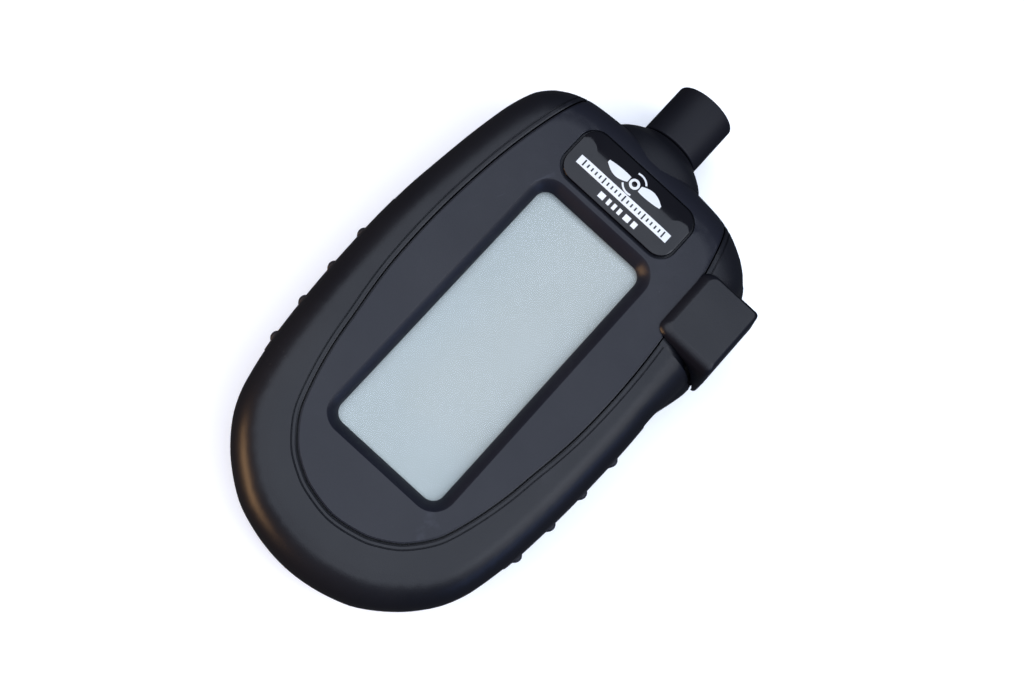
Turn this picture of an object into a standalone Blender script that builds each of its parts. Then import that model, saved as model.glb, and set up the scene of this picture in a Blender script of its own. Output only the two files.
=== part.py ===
"""Handheld optical tachometer with a blank LCD, a hooded sensor, a side push button and a battery door.

Run with: blender --background --python part.py

Sizes in this file are in millimetres, and in_metres() scales each finished mesh to Blender's metres.
While it is being modelled the body is centred on x = 0 and lies on its back with the display up:
+x is its right side, +y points along the sensor hood, and z = 0 is the flat back.
Everything hangs from one empty that moves the body so that the frame's origin is the middle of the
whole tachometer's footprint.
"""

import math

import bmesh
import bpy
from mathutils import Matrix, Vector

MM = 0.001
GAP = 0.3  # clearance between pieces that touch on the real tachometer

# Body outline: the right half from the base to the sensor end, as (half width, y)
OUTLINE = (
    (0.0, -55.4), (6.0, -54.8), (12.0, -53.1), (15.9, -51.0), (19.8, -48.0), (22.7, -45.0),
    (24.9, -42.0), (26.4, -39.0), (27.4, -36.0), (28.7, -30.0), (29.5, -24.0), (30.3, -15.0),
    (30.7, -6.0), (30.85, 2.0), (30.6, 9.5), (30.0, 16.0), (29.1, 24.0), (28.2, 30.0),
    (27.4, 34.0), (26.1, 38.0), (24.8, 40.2), (22.7, 42.3), (18.8, 44.4), (13.2, 45.5), (0.0, 46.1),
)
OUTLINE_POINTS = 60

# Body section
THICKNESS = 25.0
PARTING_Z = 12.5
FRONT_ROUND_IN = 6.2  # how far in from the outline the front rounding reaches
FRONT_ROUND_Z = 17.6  # where the front rounding leaves the side wall
SHOULDER_Z = 24.7  # top of the front rounding
FACE_INSET = 8.0  # the face is flat from here inwards
BACK_ROUND_IN = 5.0
BACK_ROUND_Z = 6.5
WALL = 2.0
FACE_WALL = 3.8  # front shell and face plate together
END_WALL_Y = 41.6  # inner face of the wall at the sensor end
ARC_STEPS = 4

# Swelling of the right side wall around the push button
SWELL = 3.2
SWELL_RISE = (7.0, 19.0)
SWELL_FALL = (38.5, 44.0)

# Face plate: a U-shaped panel let into the front shell
PLATE_OUTLINE = (
    (0.0, -43.4), (6.0, -42.4), (9.0, -41.1), (11.0, -39.9), (12.5, -38.7), (14.9, -35.9),
    (16.7, -32.8), (18.6, -27.0), (20.0, -21.0), (20.9, -15.0), (21.8, -9.0), (22.4, -3.0),
    (22.65, 5.0), (22.5, 12.0), (22.1, 18.0), (21.5, 24.0), (20.6, 30.0), (19.4, 36.0),
    (17.8, 42.0), (15.4, 50.0),
)
PLATE_THICKNESS = 2.2
PLATE_LOW_Z = 18.0
PLATE_POINTS = 26

# Display
WINDOW_Y = -2.4
WINDOW_SIZE = (24.0, 56.2)
WINDOW_BEVEL = 1.9
WINDOW_CORNER = 2.4
LENS_SIZE = (26.4, 58.6)
LENS_Z = (21.5, 22.5)
LCD_SIZE = (26.0, 58.2)
LCD_Z = (18.6, 21.2)
BOARD_Z = (14.4, 16.0)

# Domed name label
LABEL_Y = 34.7
LABEL_SIZE = (26.0, 10.8)
LABEL_CORNER = 3.2
LABEL_Z = (24.7, 25.5)

# Sensor: everything round about the axis y at z = PARTING_Z
HOOD_RADIUS = 6.3
HOOD_MOUTH_RADIUS = 5.1
HOOD_Y = (50.5, 61.8)
SPIGOT_RADIUS = 5.2
BOSS_OUTSIDE = ((42.5, 11.3), (46.0, 10.9), (47.3, 10.2), (48.5, 8.8), (49.4, 7.5), (50.0, 6.7))
ROUND_SIDES = 28

# Push button cap and its switch
CAP_X = (19.8, 34.2)
CAP_Y = (18.4, 34.2)
CAP_Z = (13.5, 26.5)
CAP_TOP_X = (21.4, 31.6)
CAP_TOP_Y = (20.2, 33.7)
CAP_LIP_Z = 25.55
CAP_TRAVEL = 1.2
WELL_X = 21.8  # where the well that the cap slides over begins
STEM_Y = 26.0
STEM_Z = 18.3
STEM_HALF = 1.5
SWITCH_X = (15.7, 21.7)

# Rubber side grips
GRIP_Y = (-29.8, 6.4)
GRIP_Z = (7.5, 17.3)
GRIP_PROUD = 0.25
GRIP_DEPTH = 0.6
RIB_Y = (-2.0, -10.2, -18.4, -26.6)
RIB_RADIUS = 1.35
RIB_PROUD = 0.75

# Battery bay for two AAA cells, and its door
CELL_RADIUS = 5.1
CELL_LENGTH = 44.5
CELL_X = 5.5
CELL_Z = 7.4
BAY_HALF_WIDTH = 11.2
BAY_Y = (-41.0, 9.6)
BAY_TOP = 12.9
BAY_WALL = 1.2
DOOR_HALF_WIDTH = 13.0
DOOR_Y = (-43.5, 13.5)
DOOR_Z = (0.25, 2.0)
DOOR_PIVOT = (13.65, 0.25)
TAB_X = 8.0

# Fasteners
CASE_SCREWS = ((-19.0, 34.5), (19.0, 34.5), (-18.5, -37.0), (18.5, -37.0))
BOARD_SCREWS = ((-17.2, 20.0), (-17.2, -24.0), (17.2, -24.0))

# Middle of the footprint, which becomes the frame's origin
LEFT_EDGE = -30.8 - GRIP_PROUD - RIB_PROUD
FRAME_X = (LEFT_EDGE + CAP_X[1]) / 2
FRAME_Y = (OUTLINE[0][1] + HOOD_Y[1]) / 2

MATERIALS = {
    "case_plastic": ((0.035, 0.037, 0.045), 0.55, 0.0),
    "panel_plastic": ((0.042, 0.044, 0.054), 0.5, 0.0),
    "button_plastic": ((0.045, 0.047, 0.055), 0.45, 0.0),
    "hood_plastic": ((0.03, 0.031, 0.036), 0.5, 0.0),
    "grip_rubber": ((0.012, 0.012, 0.016), 0.75, 0.0),
    "label_gloss": ((0.01, 0.01, 0.014), 0.12, 0.0),
    "clear_lens": ((0.8, 0.85, 0.86), 0.08, 0.0),
    "lcd_grey": ((0.42, 0.5, 0.53), 0.35, 0.0),
    "frame_plastic": ((0.6, 0.6, 0.58), 0.5, 0.0),
    "board_green": ((0.03, 0.16, 0.07), 0.4, 0.0),
    "chip_black": ((0.01, 0.01, 0.01), 0.3, 0.0),
    "strip_rubber": ((0.55, 0.5, 0.35), 0.7, 0.0),
    "tin_steel": ((0.6, 0.6, 0.6), 0.35, 1.0),
    "screw_steel": ((0.3, 0.3, 0.31), 0.4, 1.0),
    "cell_wrap": ((0.06, 0.12, 0.3), 0.3, 0.0),
    "sensor_resin": ((0.1, 0.03, 0.03), 0.15, 0.0),
    "wire_red": ((0.45, 0.02, 0.02), 0.5, 0.0),
    "wire_black": ((0.01, 0.01, 0.01), 0.5, 0.0),
}


# ---------------------------------------------------------------- outlines


def smooth_through(points, steps=5, before=None, after=None):
    """Points on a Catmull-Rom curve through the given ones."""
    padded = [before or points[0], *points, after or points[-1]]
    found = []
    for p0, p1, p2, p3 in zip(padded, padded[1:], padded[2:], padded[3:]):
        a, b, c, d = (Vector(p) for p in (p0, p1, p2, p3))
        for i in range(steps):
            t = i / steps
            bend = 2 * b + (c - a) * t + (2 * a - 5 * b + 4 * c - d) * t**2
            found.append((bend + (3 * b - a - 3 * c + d) * t**3) / 2)
    return [*found, Vector(points[-1])]


def moved_outwards(points, grow, before, after):
    """A polyline's points moved to its right by grow."""
    padded = [before, *points, after]
    moved = []
    for previous, here, following in zip(padded, padded[1:], padded[2:]):
        along = (Vector(following) - Vector(previous)).normalized()
        moved.append((here[0] + along.y * grow, here[1] - along.x * grow))
    return moved


def evenly_spaced(points, count):
    """count points at equal steps along an open polyline."""
    lengths = [0.0]
    for a, b in zip(points, points[1:]):
        lengths.append(lengths[-1] + math.dist(a, b))
    found, k = [], 0
    for i in range(count):
        wanted = lengths[-1] * i / (count - 1)
        while k < len(lengths) - 2 and lengths[k + 1] < wanted:
            k += 1
        share = (wanted - lengths[k]) / max(lengths[k + 1] - lengths[k], 1e-9)
        found.append(tuple(a + (b - a) * share for a, b in zip(points[k], points[k + 1])))
    return found


def flipped(point):
    return (-point[0], point[1])


def body_half(inset):
    """The right half of the body's outline drawn in by inset, from the base to the sensor end."""
    before, after = flipped(OUTLINE[1]), flipped(OUTLINE[-2])
    half = smooth_through(OUTLINE, 10, before, after)
    return moved_outwards(half, -inset, flipped(half[1]), flipped(half[-2]))


def body_outline(inset, count=OUTLINE_POINTS):
    """The body's outline drawn in by inset, as a closed anticlockwise list of (x, y)."""
    half = evenly_spaced(body_half(inset), count // 2 + 1)
    return half + [flipped(point) for point in reversed(half[1:-1])]


def half_width_at(y):
    """Half the body's width at y."""
    half = body_half(0.0)
    for (x_low, y_low), (x_high, y_high) in zip(half, half[1:]):
        if y_low <= y <= y_high:
            return x_low + (x_high - x_low) * (y - y_low) / (y_high - y_low)
    raise ValueError(f"y = {y} is off the body")


def smooth_step(value, start, end):
    share = min(max((value - start) / (end - start), 0.0), 1.0)
    return share * share * (3 - 2 * share)


def swell_at(y):
    return SWELL * smooth_step(y, *SWELL_RISE) * (1 - smooth_step(y, *SWELL_FALL))


def plate_outline(grow):
    """The face plate's U, which runs on past the sensor end, drawn out by grow."""
    half = smooth_through(PLATE_OUTLINE, 8, flipped(PLATE_OUTLINE[1]))
    half = moved_outwards(half, grow, flipped(half[1]), half[-1])
    half = evenly_spaced(half, PLATE_POINTS)
    return half + [flipped(point) for point in reversed(half[1:])]


def rounded_rectangle(width, height, radius, centre_y=0.0, corner_steps=4):
    points = []
    for quarter, (sx, sy) in enumerate(((1, -1), (1, 1), (-1, 1), (-1, -1))):
        centre = (sx * (width / 2 - radius), sy * (height / 2 - radius) + centre_y)
        for i in range(corner_steps + 1):
            angle = math.pi / 2 * (quarter - 1 + i / corner_steps)
            points.append(
                (centre[0] + radius * math.cos(angle), centre[1] + radius * math.sin(angle))
            )
    return points


# ---------------------------------------------------------------- solids


def solid(name, mesh_maker):
    """A new object in millimetres. mesh_maker fills a bmesh."""
    mesh = bpy.data.meshes.new(name)
    bm = bmesh.new()
    mesh_maker(bm)
    bmesh.ops.connect_verts_nonplanar(bm, angle_limit=0.0005, faces=bm.faces)
    bmesh.ops.recalc_face_normals(bm, faces=bm.faces)
    bm.to_mesh(mesh)
    bm.free()
    obj = bpy.data.objects.new(name, mesh)
    bpy.context.scene.collection.objects.link(obj)
    return obj


def loft(name, rings):
    """A closed solid through rings of equally many points, from the first to the last."""

    def fill(bm):
        rows = [[bm.verts.new(p) for p in ring] for ring in rings]
        count = len(rows[0])
        for low, high in zip(rows, rows[1:]):
            for i in range(count):
                j = (i + 1) % count
                bm.faces.new((low[i], low[j], high[j], high[i]))
        bm.faces.new(list(reversed(rows[0])))
        bm.faces.new(rows[-1])

    return solid(name, fill)


def prism(name, outline, low_z, high_z):
    return loft(name, [[(x, y, z) for x, y in outline] for z in (low_z, high_z)])


def box(name, x, y, z):
    """A block from its limits along x, y and z."""
    corners = [(x[0], y[0]), (x[1], y[0]), (x[1], y[1]), (x[0], y[1])]
    return prism(name, corners, *z)


def turned(name, profile, axis_point, direction, sides=ROUND_SIDES):
    """A closed profile of (distance along direction, radius), turned about a line through axis_point."""
    turn = Vector((0, 0, 1)).rotation_difference(Vector(direction)).to_matrix().to_4x4()
    place = Matrix.Translation(axis_point) @ turn

    def fill(bm):
        rows = []
        for along, radius in profile:
            if radius < 1e-6:
                rows.append([bm.verts.new((0, 0, along))])
                continue
            angles = [2 * math.pi * k / sides for k in range(sides)]
            rows.append(
                [bm.verts.new((radius * math.cos(a), radius * math.sin(a), along)) for a in angles]
            )
        for first, second in zip(rows, rows[1:] + rows[:1]):
            if len(first) == 1 and len(second) == 1:
                continue
            for k in range(sides):
                m = (k + 1) % sides
                around = [first[k % len(first)], first[m % len(first)]]
                around += [second[m % len(second)], second[k % len(second)]]
                bm.faces.new(list(dict.fromkeys(around)))
        bm.transform(place)

    return solid(name, fill)


def cylinder(name, centre, direction, radius, length, sides=ROUND_SIDES):
    """A plain cylinder that starts at centre and runs along direction."""
    return turned(name, [(0, 0), (0, radius), (length, radius), (length, 0)], centre, direction, sides)


def tube_along(name, points, radius, sides_level=1):
    """A wire of round section through points."""
    curve = bpy.data.curves.new(name, "CURVE")
    curve.dimensions = "3D"
    curve.bevel_depth = radius
    curve.bevel_resolution = sides_level
    curve.use_fill_caps = True
    spline = curve.splines.new("POLY")
    spline.points.add(len(points) - 1)
    for target, point in zip(spline.points, points):
        target.co = (*point, 1)
    guide = bpy.data.objects.new(name + "_guide", curve)
    bpy.context.scene.collection.objects.link(guide)
    mesh = evaluated_mesh(guide)
    bpy.data.objects.remove(guide)
    obj = bpy.data.objects.new(name, mesh)
    bpy.context.scene.collection.objects.link(obj)
    return obj


def evaluated_mesh(obj):
    graph = bpy.context.evaluated_depsgraph_get()
    return bpy.data.meshes.new_from_object(obj.evaluated_get(graph))


def combine(target, tool, operation):
    """Applies one Boolean to target and removes the tool."""
    modifier = target.modifiers.new(operation, "BOOLEAN")
    modifier.operation = operation
    modifier.solver = "EXACT"
    modifier.object = tool
    mesh = evaluated_mesh(target)
    target.modifiers.clear()
    target.data = mesh
    bpy.data.objects.remove(tool)
    return target


def cut(target, *tools):
    for tool in tools:
        combine(target, tool, "DIFFERENCE")
    return target


def join(target, *tools):
    for tool in tools:
        combine(target, tool, "UNION")
    return target


def common(target, tool):
    return combine(target, tool, "INTERSECT")


def place_shifted(obj, x=0.0, y=0.0, z=0.0):
    obj.data.transform(Matrix.Translation((x, y, z)))
    return obj


# ---------------------------------------------------------------- body surfaces


def body_ring(inset, z, swell_share, count=OUTLINE_POINTS):
    """One level of the body: the outline drawn in by inset, with part of the right-hand swelling."""
    ring = []
    for x, y in body_outline(inset, count):
        swollen = x + swell_share * swell_at(y) if x > 0 else x
        ring.append((swollen, y, z))
    return ring


def front_body(name, depth, bottom_z, top_z=None):
    """The front half's outer surface moved inwards by depth, as a solid that stands on bottom_z."""
    top_z = THICKNESS - depth if top_z is None else top_z
    rings = [
        body_ring(depth, bottom_z, 1.0),
        body_ring(depth, FRONT_ROUND_Z - 3, 0.95),
        body_ring(depth, FRONT_ROUND_Z - 1.2, 0.75),
    ]
    rise = top_z - (THICKNESS - SHOULDER_Z) - FRONT_ROUND_Z
    for i in range(ARC_STEPS + 1):
        angle = math.pi / 2 * i / ARC_STEPS
        inset = FRONT_ROUND_IN - (FRONT_ROUND_IN - depth) * math.cos(angle)
        z = FRONT_ROUND_Z + rise * math.sin(angle)
        rings.append(body_ring(inset, z, 0.5 * (1 - i / ARC_STEPS)))
    rings.append(body_ring(FACE_INSET, top_z, 0.0))
    return loft(name, rings)


def rear_body(name, depth, top_z):
    """The rear half's outer surface moved inwards by depth, as a solid that ends at top_z."""
    rings = []
    for i in range(ARC_STEPS + 1):
        angle = math.pi / 2 * i / ARC_STEPS
        inset = BACK_ROUND_IN - (BACK_ROUND_IN - depth) * math.sin(angle)
        z = BACK_ROUND_Z - (BACK_ROUND_Z - depth) * math.cos(angle)
        rings.append(body_ring(inset, z, 0.8 * i / ARC_STEPS))
    rings.append(body_ring(depth, top_z, 1.0))
    return loft(name, rings)


def boss(name, grow=0.0):
    """The flared collar on the sensor end, drawn out by grow."""
    profile = [(y, radius + grow) for y, radius in BOSS_OUTSIDE]
    start, end = BOSS_OUTSIDE[0][0], BOSS_OUTSIDE[-1][0] + grow
    profile = [(start, 0), *profile[:-1], (end, profile[-1][1]), (end, 0)]
    return turned(name, profile, (0, 0, PARTING_Z), (0, 1, 0))


def add_collar(shell):
    """Adds the collar, and the sleeve that grips the hood's flange inside the case."""
    sleeve = cylinder("sleeve", (0, 40.2, PARTING_Z), (0, 1, 0), 8.5, 3.2)
    return join(shell, boss("collar"), sleeve)


def sensor_bore():
    """The stepped hole through the collar for the hood's spigot and flange."""
    radius = SPIGOT_RADIUS + GAP
    groove = SPIGOT_RADIUS + 1.3 + GAP
    profile = [(38, 0), (38, radius), (41.6, radius), (41.6, groove), (43.4, groove)]
    profile += [(43.4, radius), (52, radius), (52, 0)]
    return turned("sensor_bore", profile, (0, 0, PARTING_Z), (0, 1, 0))


def grip_pocket(name, side):
    """What a shell loses where a side grip is let in."""
    x = (20.0, 40.0) if side > 0 else (-40.0, -20.0)
    y = (GRIP_Y[0] - GAP, GRIP_Y[1] + GAP)
    z = (GRIP_Z[0] - GAP, GRIP_Z[1] + GAP)
    pocket = box(name, x, y, z)
    core = prism("core", body_outline(GRIP_DEPTH + GAP), 0, THICKNESS)
    return cut(pocket, core)


# ---------------------------------------------------------------- case


def make_front_shell():
    shell = front_body("front_shell", 0.0, PARTING_Z - 1)
    cavity = front_body("cavity", WALL, PARTING_Z - 2, THICKNESS - FACE_WALL)
    cut(cavity, box("end_wall", (-40, 40), (END_WALL_Y, 60), (0, 30)))
    cut(cavity, box("well_block", (24.3, 45), (15.5, 37), (1, 29)))
    cut(shell, cavity)

    recess = prism("recess", plate_outline(GAP), PLATE_LOW_Z, 32)
    cut(recess, front_body("floor", PLATE_THICKNESS + GAP, 5))
    cut(shell, recess)
    opening = rounded_rectangle(LENS_SIZE[0] + 2 * GAP, LENS_SIZE[1] + 2 * GAP, 2.0, WINDOW_Y)
    cut(shell, prism("lens_opening", opening, 19, 24))

    add_collar(shell)
    cut(shell, box("rear_side", (-50, 50), (-80, 80), (-30, PARTING_Z + GAP / 2)))
    cut(shell, sensor_bore())

    well = box("well", (WELL_X, 45), (CAP_Y[0] - GAP, CAP_Y[1] + GAP), (CAP_Z[0] - GAP, 32))
    kept = place_shifted(front_body("kept", 0.0, 5), x=-CAP_TRAVEL - GAP, z=-GAP)
    cut(shell, cut(well, kept))
    slot_y = (STEM_Y - STEM_HALF - 0.4, STEM_Y + STEM_HALF + 0.4)
    slot_z = (STEM_Z - STEM_HALF - 0.4, STEM_Z + STEM_HALF + 0.4)
    cut(shell, box("stem_slot", (22, 40), slot_y, slot_z))

    for x, y in CASE_SCREWS:
        join(shell, cylinder("post", (x, y, 5.3), (0, 0, 1), 2.5, 16.8, 20))
        cut(shell, cylinder("pilot", (x, y, 4), (0, 0, 1), 1.5, 11.5, 12))
    for x, y in BOARD_SCREWS:
        join(shell, cylinder("post", (x, y, BOARD_Z[1] + GAP), (0, 0, 1), 1.8, 5.5, 16))
        cut(shell, cylinder("pilot", (x, y, 15), (0, 0, 1), 1.2, 5, 12))
    cut(shell, grip_pocket("right_pocket", 1), grip_pocket("left_pocket", -1))
    return finish(shell, "case_plastic")


def make_face_plate():
    plate = front_body("face_plate", 0.0, 5)
    common(plate, prism("plate_area", plate_outline(0.0), PLATE_LOW_Z + GAP, 32))
    cut(plate, front_body("underside", PLATE_THICKNESS, 2))
    cut(plate, boss("boss_clearance", GAP))

    slope = WINDOW_BEVEL / PLATE_THICKNESS
    rings = []
    for z in (THICKNESS - PLATE_THICKNESS - 0.6, THICKNESS + 0.6):
        grow = slope * (z - THICKNESS + PLATE_THICKNESS)
        width, height = (side + 2 * grow for side in WINDOW_SIZE)
        corner = WINDOW_CORNER + grow
        outline = rounded_rectangle(width, height, corner, WINDOW_Y)
        rings.append([(x, y, z) for x, y in outline])
    cut(plate, loft("window_cut", rings))

    width, height = (side + 2 * GAP for side in LABEL_SIZE)
    pocket = rounded_rectangle(width, height, LABEL_CORNER + GAP, LABEL_Y)
    cut(plate, prism("label_pocket", pocket, LABEL_Z[0] - GAP, 28))
    return finish(plate, "panel_plastic")


def make_rear_shell():
    shell = rear_body("rear_shell", 0.0, PARTING_Z + 1)
    cavity = rear_body("cavity", WALL, PARTING_Z + 2)
    cut(cavity, box("end_wall", (-40, 40), (END_WALL_Y, 60), (-5, 30)))
    cut(shell, cavity)
    add_collar(shell)
    cut(shell, box("front_side", (-50, 50), (-80, 80), (PARTING_Z - GAP / 2, 50)))
    cut(shell, sensor_bore())

    outer = BAY_HALF_WIDTH + BAY_WALL
    bay_y = (BAY_Y[0] - BAY_WALL, BAY_Y[1] + BAY_WALL)
    join(shell, box("bay", (-outer, outer), bay_y, (1.0, BAY_TOP + 1.1)))
    ledge = DOOR_HALF_WIDTH + GAP + 2
    ledge_y = (DOOR_Y[0] - GAP - 2, bay_y[1] - 0.5)
    join(shell, box("ledge", (-ledge, ledge), ledge_y, (1.0, 3.8)))
    cut(shell, box("bay_hollow", (-BAY_HALF_WIDTH, BAY_HALF_WIDTH), BAY_Y, (-2, BAY_TOP)))
    door_x = DOOR_HALF_WIDTH + GAP
    door_y = (DOOR_Y[0] - GAP, DOOR_Y[1] + GAP)
    cut(shell, box("door_opening", (-door_x, door_x), door_y, (-2, DOOR_Z[1] + GAP)))
    scoop_y = DOOR_Y[0] - 1.8
    cut(shell, cylinder("finger_scoop", (-6, scoop_y, -3.8), (1, 0, 0), 5.0, 12, 24))
    for x in (-CELL_X, CELL_X):
        cut(shell, box("tail_slot", (x - 1.3, x + 1.3), (9, 12), (11.1, 12.2)))

    for x, y in CASE_SCREWS:
        join(shell, cylinder("screw_seat", (x, y, 1.0), (0, 0, 1), 4.0, 4.0, 24))
        cut(shell, cylinder("head_hole", (x, y, -1), (0, 0, 1), 2.9, 4.0, 20))
        cut(shell, cylinder("shank_hole", (x, y, 2), (0, 0, 1), 1.6, 4.5, 12))
    cut(shell, grip_pocket("right_pocket", 1), grip_pocket("left_pocket", -1))
    return finish(shell, "case_plastic")


def make_grip(name, side):
    x = (20.0, 40.0) if side > 0 else (-40.0, -20.0)
    grip = prism(name, body_outline(-GRIP_PROUD), *GRIP_Z)
    common(grip, box("span", x, GRIP_Y, (0, 30)))
    for y in RIB_Y:
        centre_x = half_width_at(y) + GRIP_PROUD + RIB_PROUD - RIB_RADIUS
        rib = (side * centre_x, y, GRIP_Z[0] + 0.8)
        join(grip, cylinder("rib", rib, (0, 0, 1), RIB_RADIUS, GRIP_Z[1] - GRIP_Z[0] - 1.6, 12))
    cut(grip, prism("inside", body_outline(GRIP_DEPTH), 0, 30))
    return finish(grip, "grip_rubber")


# ---------------------------------------------------------------- display


def make_display():
    lens = rounded_rectangle(*LENS_SIZE, 1.8, WINDOW_Y)
    finish(prism("display_window", lens, *LENS_Z), "clear_lens")
    half_w, half_h = LCD_SIZE[0] / 2, LCD_SIZE[1] / 2
    y = (WINDOW_Y - half_h, WINDOW_Y + half_h)
    finish(box("lcd_panel", (-half_w, half_w), y, LCD_Z), "lcd_grey")

    edge = 1.8
    outside = (half_w + GAP + edge, half_h + GAP + edge)
    frame_y = (WINDOW_Y - outside[1], WINDOW_Y + outside[1])
    frame_z = (BOARD_Z[1] + GAP, LCD_Z[1] - GAP)
    frame = box("lcd_frame", (-outside[0], outside[0]), frame_y, frame_z)
    hole_y = (y[0] - GAP, y[1] + GAP)
    cut(frame, box("frame_hole", (-half_w - GAP, half_w + GAP), hole_y, (10, 30)))
    finish(frame, "frame_plastic")

    for name, side in (("contact_strip_left", -1), ("contact_strip_right", 1)):
        x = sorted((side * 10.6, side * 12.4))
        strip_z = (BOARD_Z[1] + GAP, LCD_Z[0] - GAP)
        finish(box(name, x, (y[0] + 2, y[1] - 2), strip_z), "strip_rubber")


def make_label():
    rings = []
    for inset, z in ((0.0, LABEL_Z[0]), (0.0, LABEL_Z[1] - 0.35), (0.5, LABEL_Z[1])):
        width, height = (side - 2 * inset for side in LABEL_SIZE)
        outline = rounded_rectangle(width, height, LABEL_CORNER - inset, LABEL_Y)
        rings.append([(x, y, z) for x, y in outline])
    finish(loft("name_label", rings), "label_gloss")


# ---------------------------------------------------------------- sensor


def make_sensor():
    axis, along = (0, 0, PARTING_Z), (0, 1, 0)
    flange = SPIGOT_RADIUS + 1.3
    hood = [
        (HOOD_Y[1], HOOD_MOUTH_RADIUS),
        (HOOD_Y[1], HOOD_RADIUS - 0.4),
        (HOOD_Y[1] - 0.4, HOOD_RADIUS),
        (HOOD_Y[0], HOOD_RADIUS),
        (HOOD_Y[0], SPIGOT_RADIUS),
        (43.1, SPIGOT_RADIUS),
        (43.1, flange),
        (41.9, flange),
        (41.9, 3.6),
        (52.0, 3.6),
        (52.0, HOOD_MOUTH_RADIUS),
    ]
    finish(turned("sensor_hood", hood, axis, along), "hood_plastic")
    lens = [(52.3, 0), (52.3, 4.8), (53.3, 4.8), (54.1, 3.4), (54.5, 1.8), (54.6, 0)]
    finish(turned("sensor_lens", lens, axis, along, 24), "clear_lens")
    bulb = [(44.0, 0), (44.0, 2.9), (44.6, 2.9), (44.6, 2.5), (48.2, 2.5)]
    bulb += [(49.4, 2.1), (50.2, 1.2), (50.5, 0)]
    sensor = turned("photo_sensor", bulb, axis, along, 16)
    for x in (-1.27, 1.27):
        join(sensor, cylinder("leg", (x, 40.2, PARTING_Z), along, 0.25, 4.2, 6))
    finish(sensor, "sensor_resin")
    finish(box("sensor_board", (-6, 6), (38.6, 39.9), (7.5, 17.5)), "board_green")
    for name, x, slot in (("sensor_lead_red", -2, "wire_red"), ("sensor_lead_black", 2, "wire_black")):
        route = [(x, 38.1, 10), (x, 36.5, 10.2), (x, 35.0, 11.6), (x, 34.8, 14.0)]
        finish(tube_along(name, smooth_through(route, 4), 0.45), slot)


# ---------------------------------------------------------------- button


def make_button():
    corners = []
    for y in CAP_Y:
        corners += [(CAP_X[0], y, CAP_Z[0]), (CAP_X[0], y, CAP_LIP_Z)]
        corners += [(CAP_X[1] - 0.2, y, CAP_Z[0]), (CAP_X[1] - 0.8, y, 19.0)]
        corners.append((CAP_TOP_X[1] + 0.7, y, CAP_LIP_Z - 0.3))
    corners += [(x, y, CAP_Z[1]) for x in CAP_TOP_X for y in CAP_TOP_Y]

    def fill(bm):
        verts = [bm.verts.new(c) for c in corners]
        bmesh.ops.convex_hull(bm, input=verts)

    cap = solid("push_button", fill)
    cut(cap, front_body("shoulder", -0.35, 5))
    stem_y = (STEM_Y - STEM_HALF, STEM_Y + STEM_HALF)
    stem_z = (STEM_Z - STEM_HALF, STEM_Z + STEM_HALF)
    join(cap, box("stem", (24.2, 32.0), stem_y, stem_z))
    finish(cap, "button_plastic", origin=(CAP_X[1], STEM_Y, STEM_Z))

    z = (BOARD_Z[1] + GAP, STEM_Z + 2.0)
    body = box("switch_body", SWITCH_X, (STEM_Y - 3, STEM_Y + 3), z)
    bore = cylinder("bore", (19.0, STEM_Y, STEM_Z), (1, 0, 0), 1.8, 5, 16)
    finish(cut(body, bore), "chip_black")
    plunger = cylinder("switch_plunger", (20.6, STEM_Y, STEM_Z), (1, 0, 0), 1.45, 3.3, 16)
    finish(plunger, "frame_plastic", origin=(20.6, STEM_Y, STEM_Z))


# ---------------------------------------------------------------- electronics and battery


def make_board():
    right = [(19, -34), (19, 20), (22, 20), (22, 31), (15.8, 31), (15.8, 38)]
    left = [(-15.8, 38), (-15.8, 31), (-19, 31), (-19, -34)]
    board = prism("main_board", right + left, *BOARD_Z)
    for x, y in BOARD_SCREWS:
        cut(board, cylinder("hole", (x, y, 12), (0, 0, 1), 1.3, 6, 12))
    finish(board, "board_green")

    dome = [(0, 0), (0, 5.0), (0.5, 4.6), (1.1, 3.2), (1.4, 1.5), (1.5, 0)]
    chip = turned("processor_chip", dome, (0, -2, BOARD_Z[1] + GAP), (0, 0, 1), 16)
    finish(chip, "chip_black")
    crystal_z = (BOARD_Z[0] - GAP - 3.4, BOARD_Z[0] - GAP)
    finish(box("crystal", (-13, -3), (28, 32), crystal_z), "tin_steel")
    capacitor = cylinder("capacitor", (8, 28, BOARD_Z[0] - GAP), (0, 0, -1), 2.5, 6.5, 16)
    finish(capacitor, "chip_black")


def make_cell(name, x, nub_y, towards):
    """An AAA cell whose positive nub ends at nub_y and points along towards, +1 or -1 in y."""
    profile = [(0, 0), (0, CELL_RADIUS - 0.4), (0.4, CELL_RADIUS), (CELL_LENGTH - 1.4, CELL_RADIUS)]
    profile += [(CELL_LENGTH - 1.0, CELL_RADIUS - 0.4), (CELL_LENGTH - 1.0, 1.9)]
    profile += [(CELL_LENGTH, 1.9), (CELL_LENGTH, 0)]
    start = (x, nub_y - towards * CELL_LENGTH, CELL_Z)
    finish(turned(name, profile, start, (0, towards, 0), 24), "cell_wrap")


def make_spring(name, x, base_y, towards):
    """A conical contact spring that stands on base_y."""
    turns, steps, height, wire = 3, 9, 3.9, 0.3
    points = []
    for i in range(int(turns * steps) + 1):
        share = i / (turns * steps)
        angle = 2 * math.pi * turns * share
        radius = 3.4 - 1.6 * share
        along = wire + (height - 2 * wire) * share
        offset = (radius * math.cos(angle), radius * math.sin(angle))
        points.append((x + offset[0], base_y + towards * along, CELL_Z + offset[1]))
    finish(tube_along(name, points, wire), "tin_steel")


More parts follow.
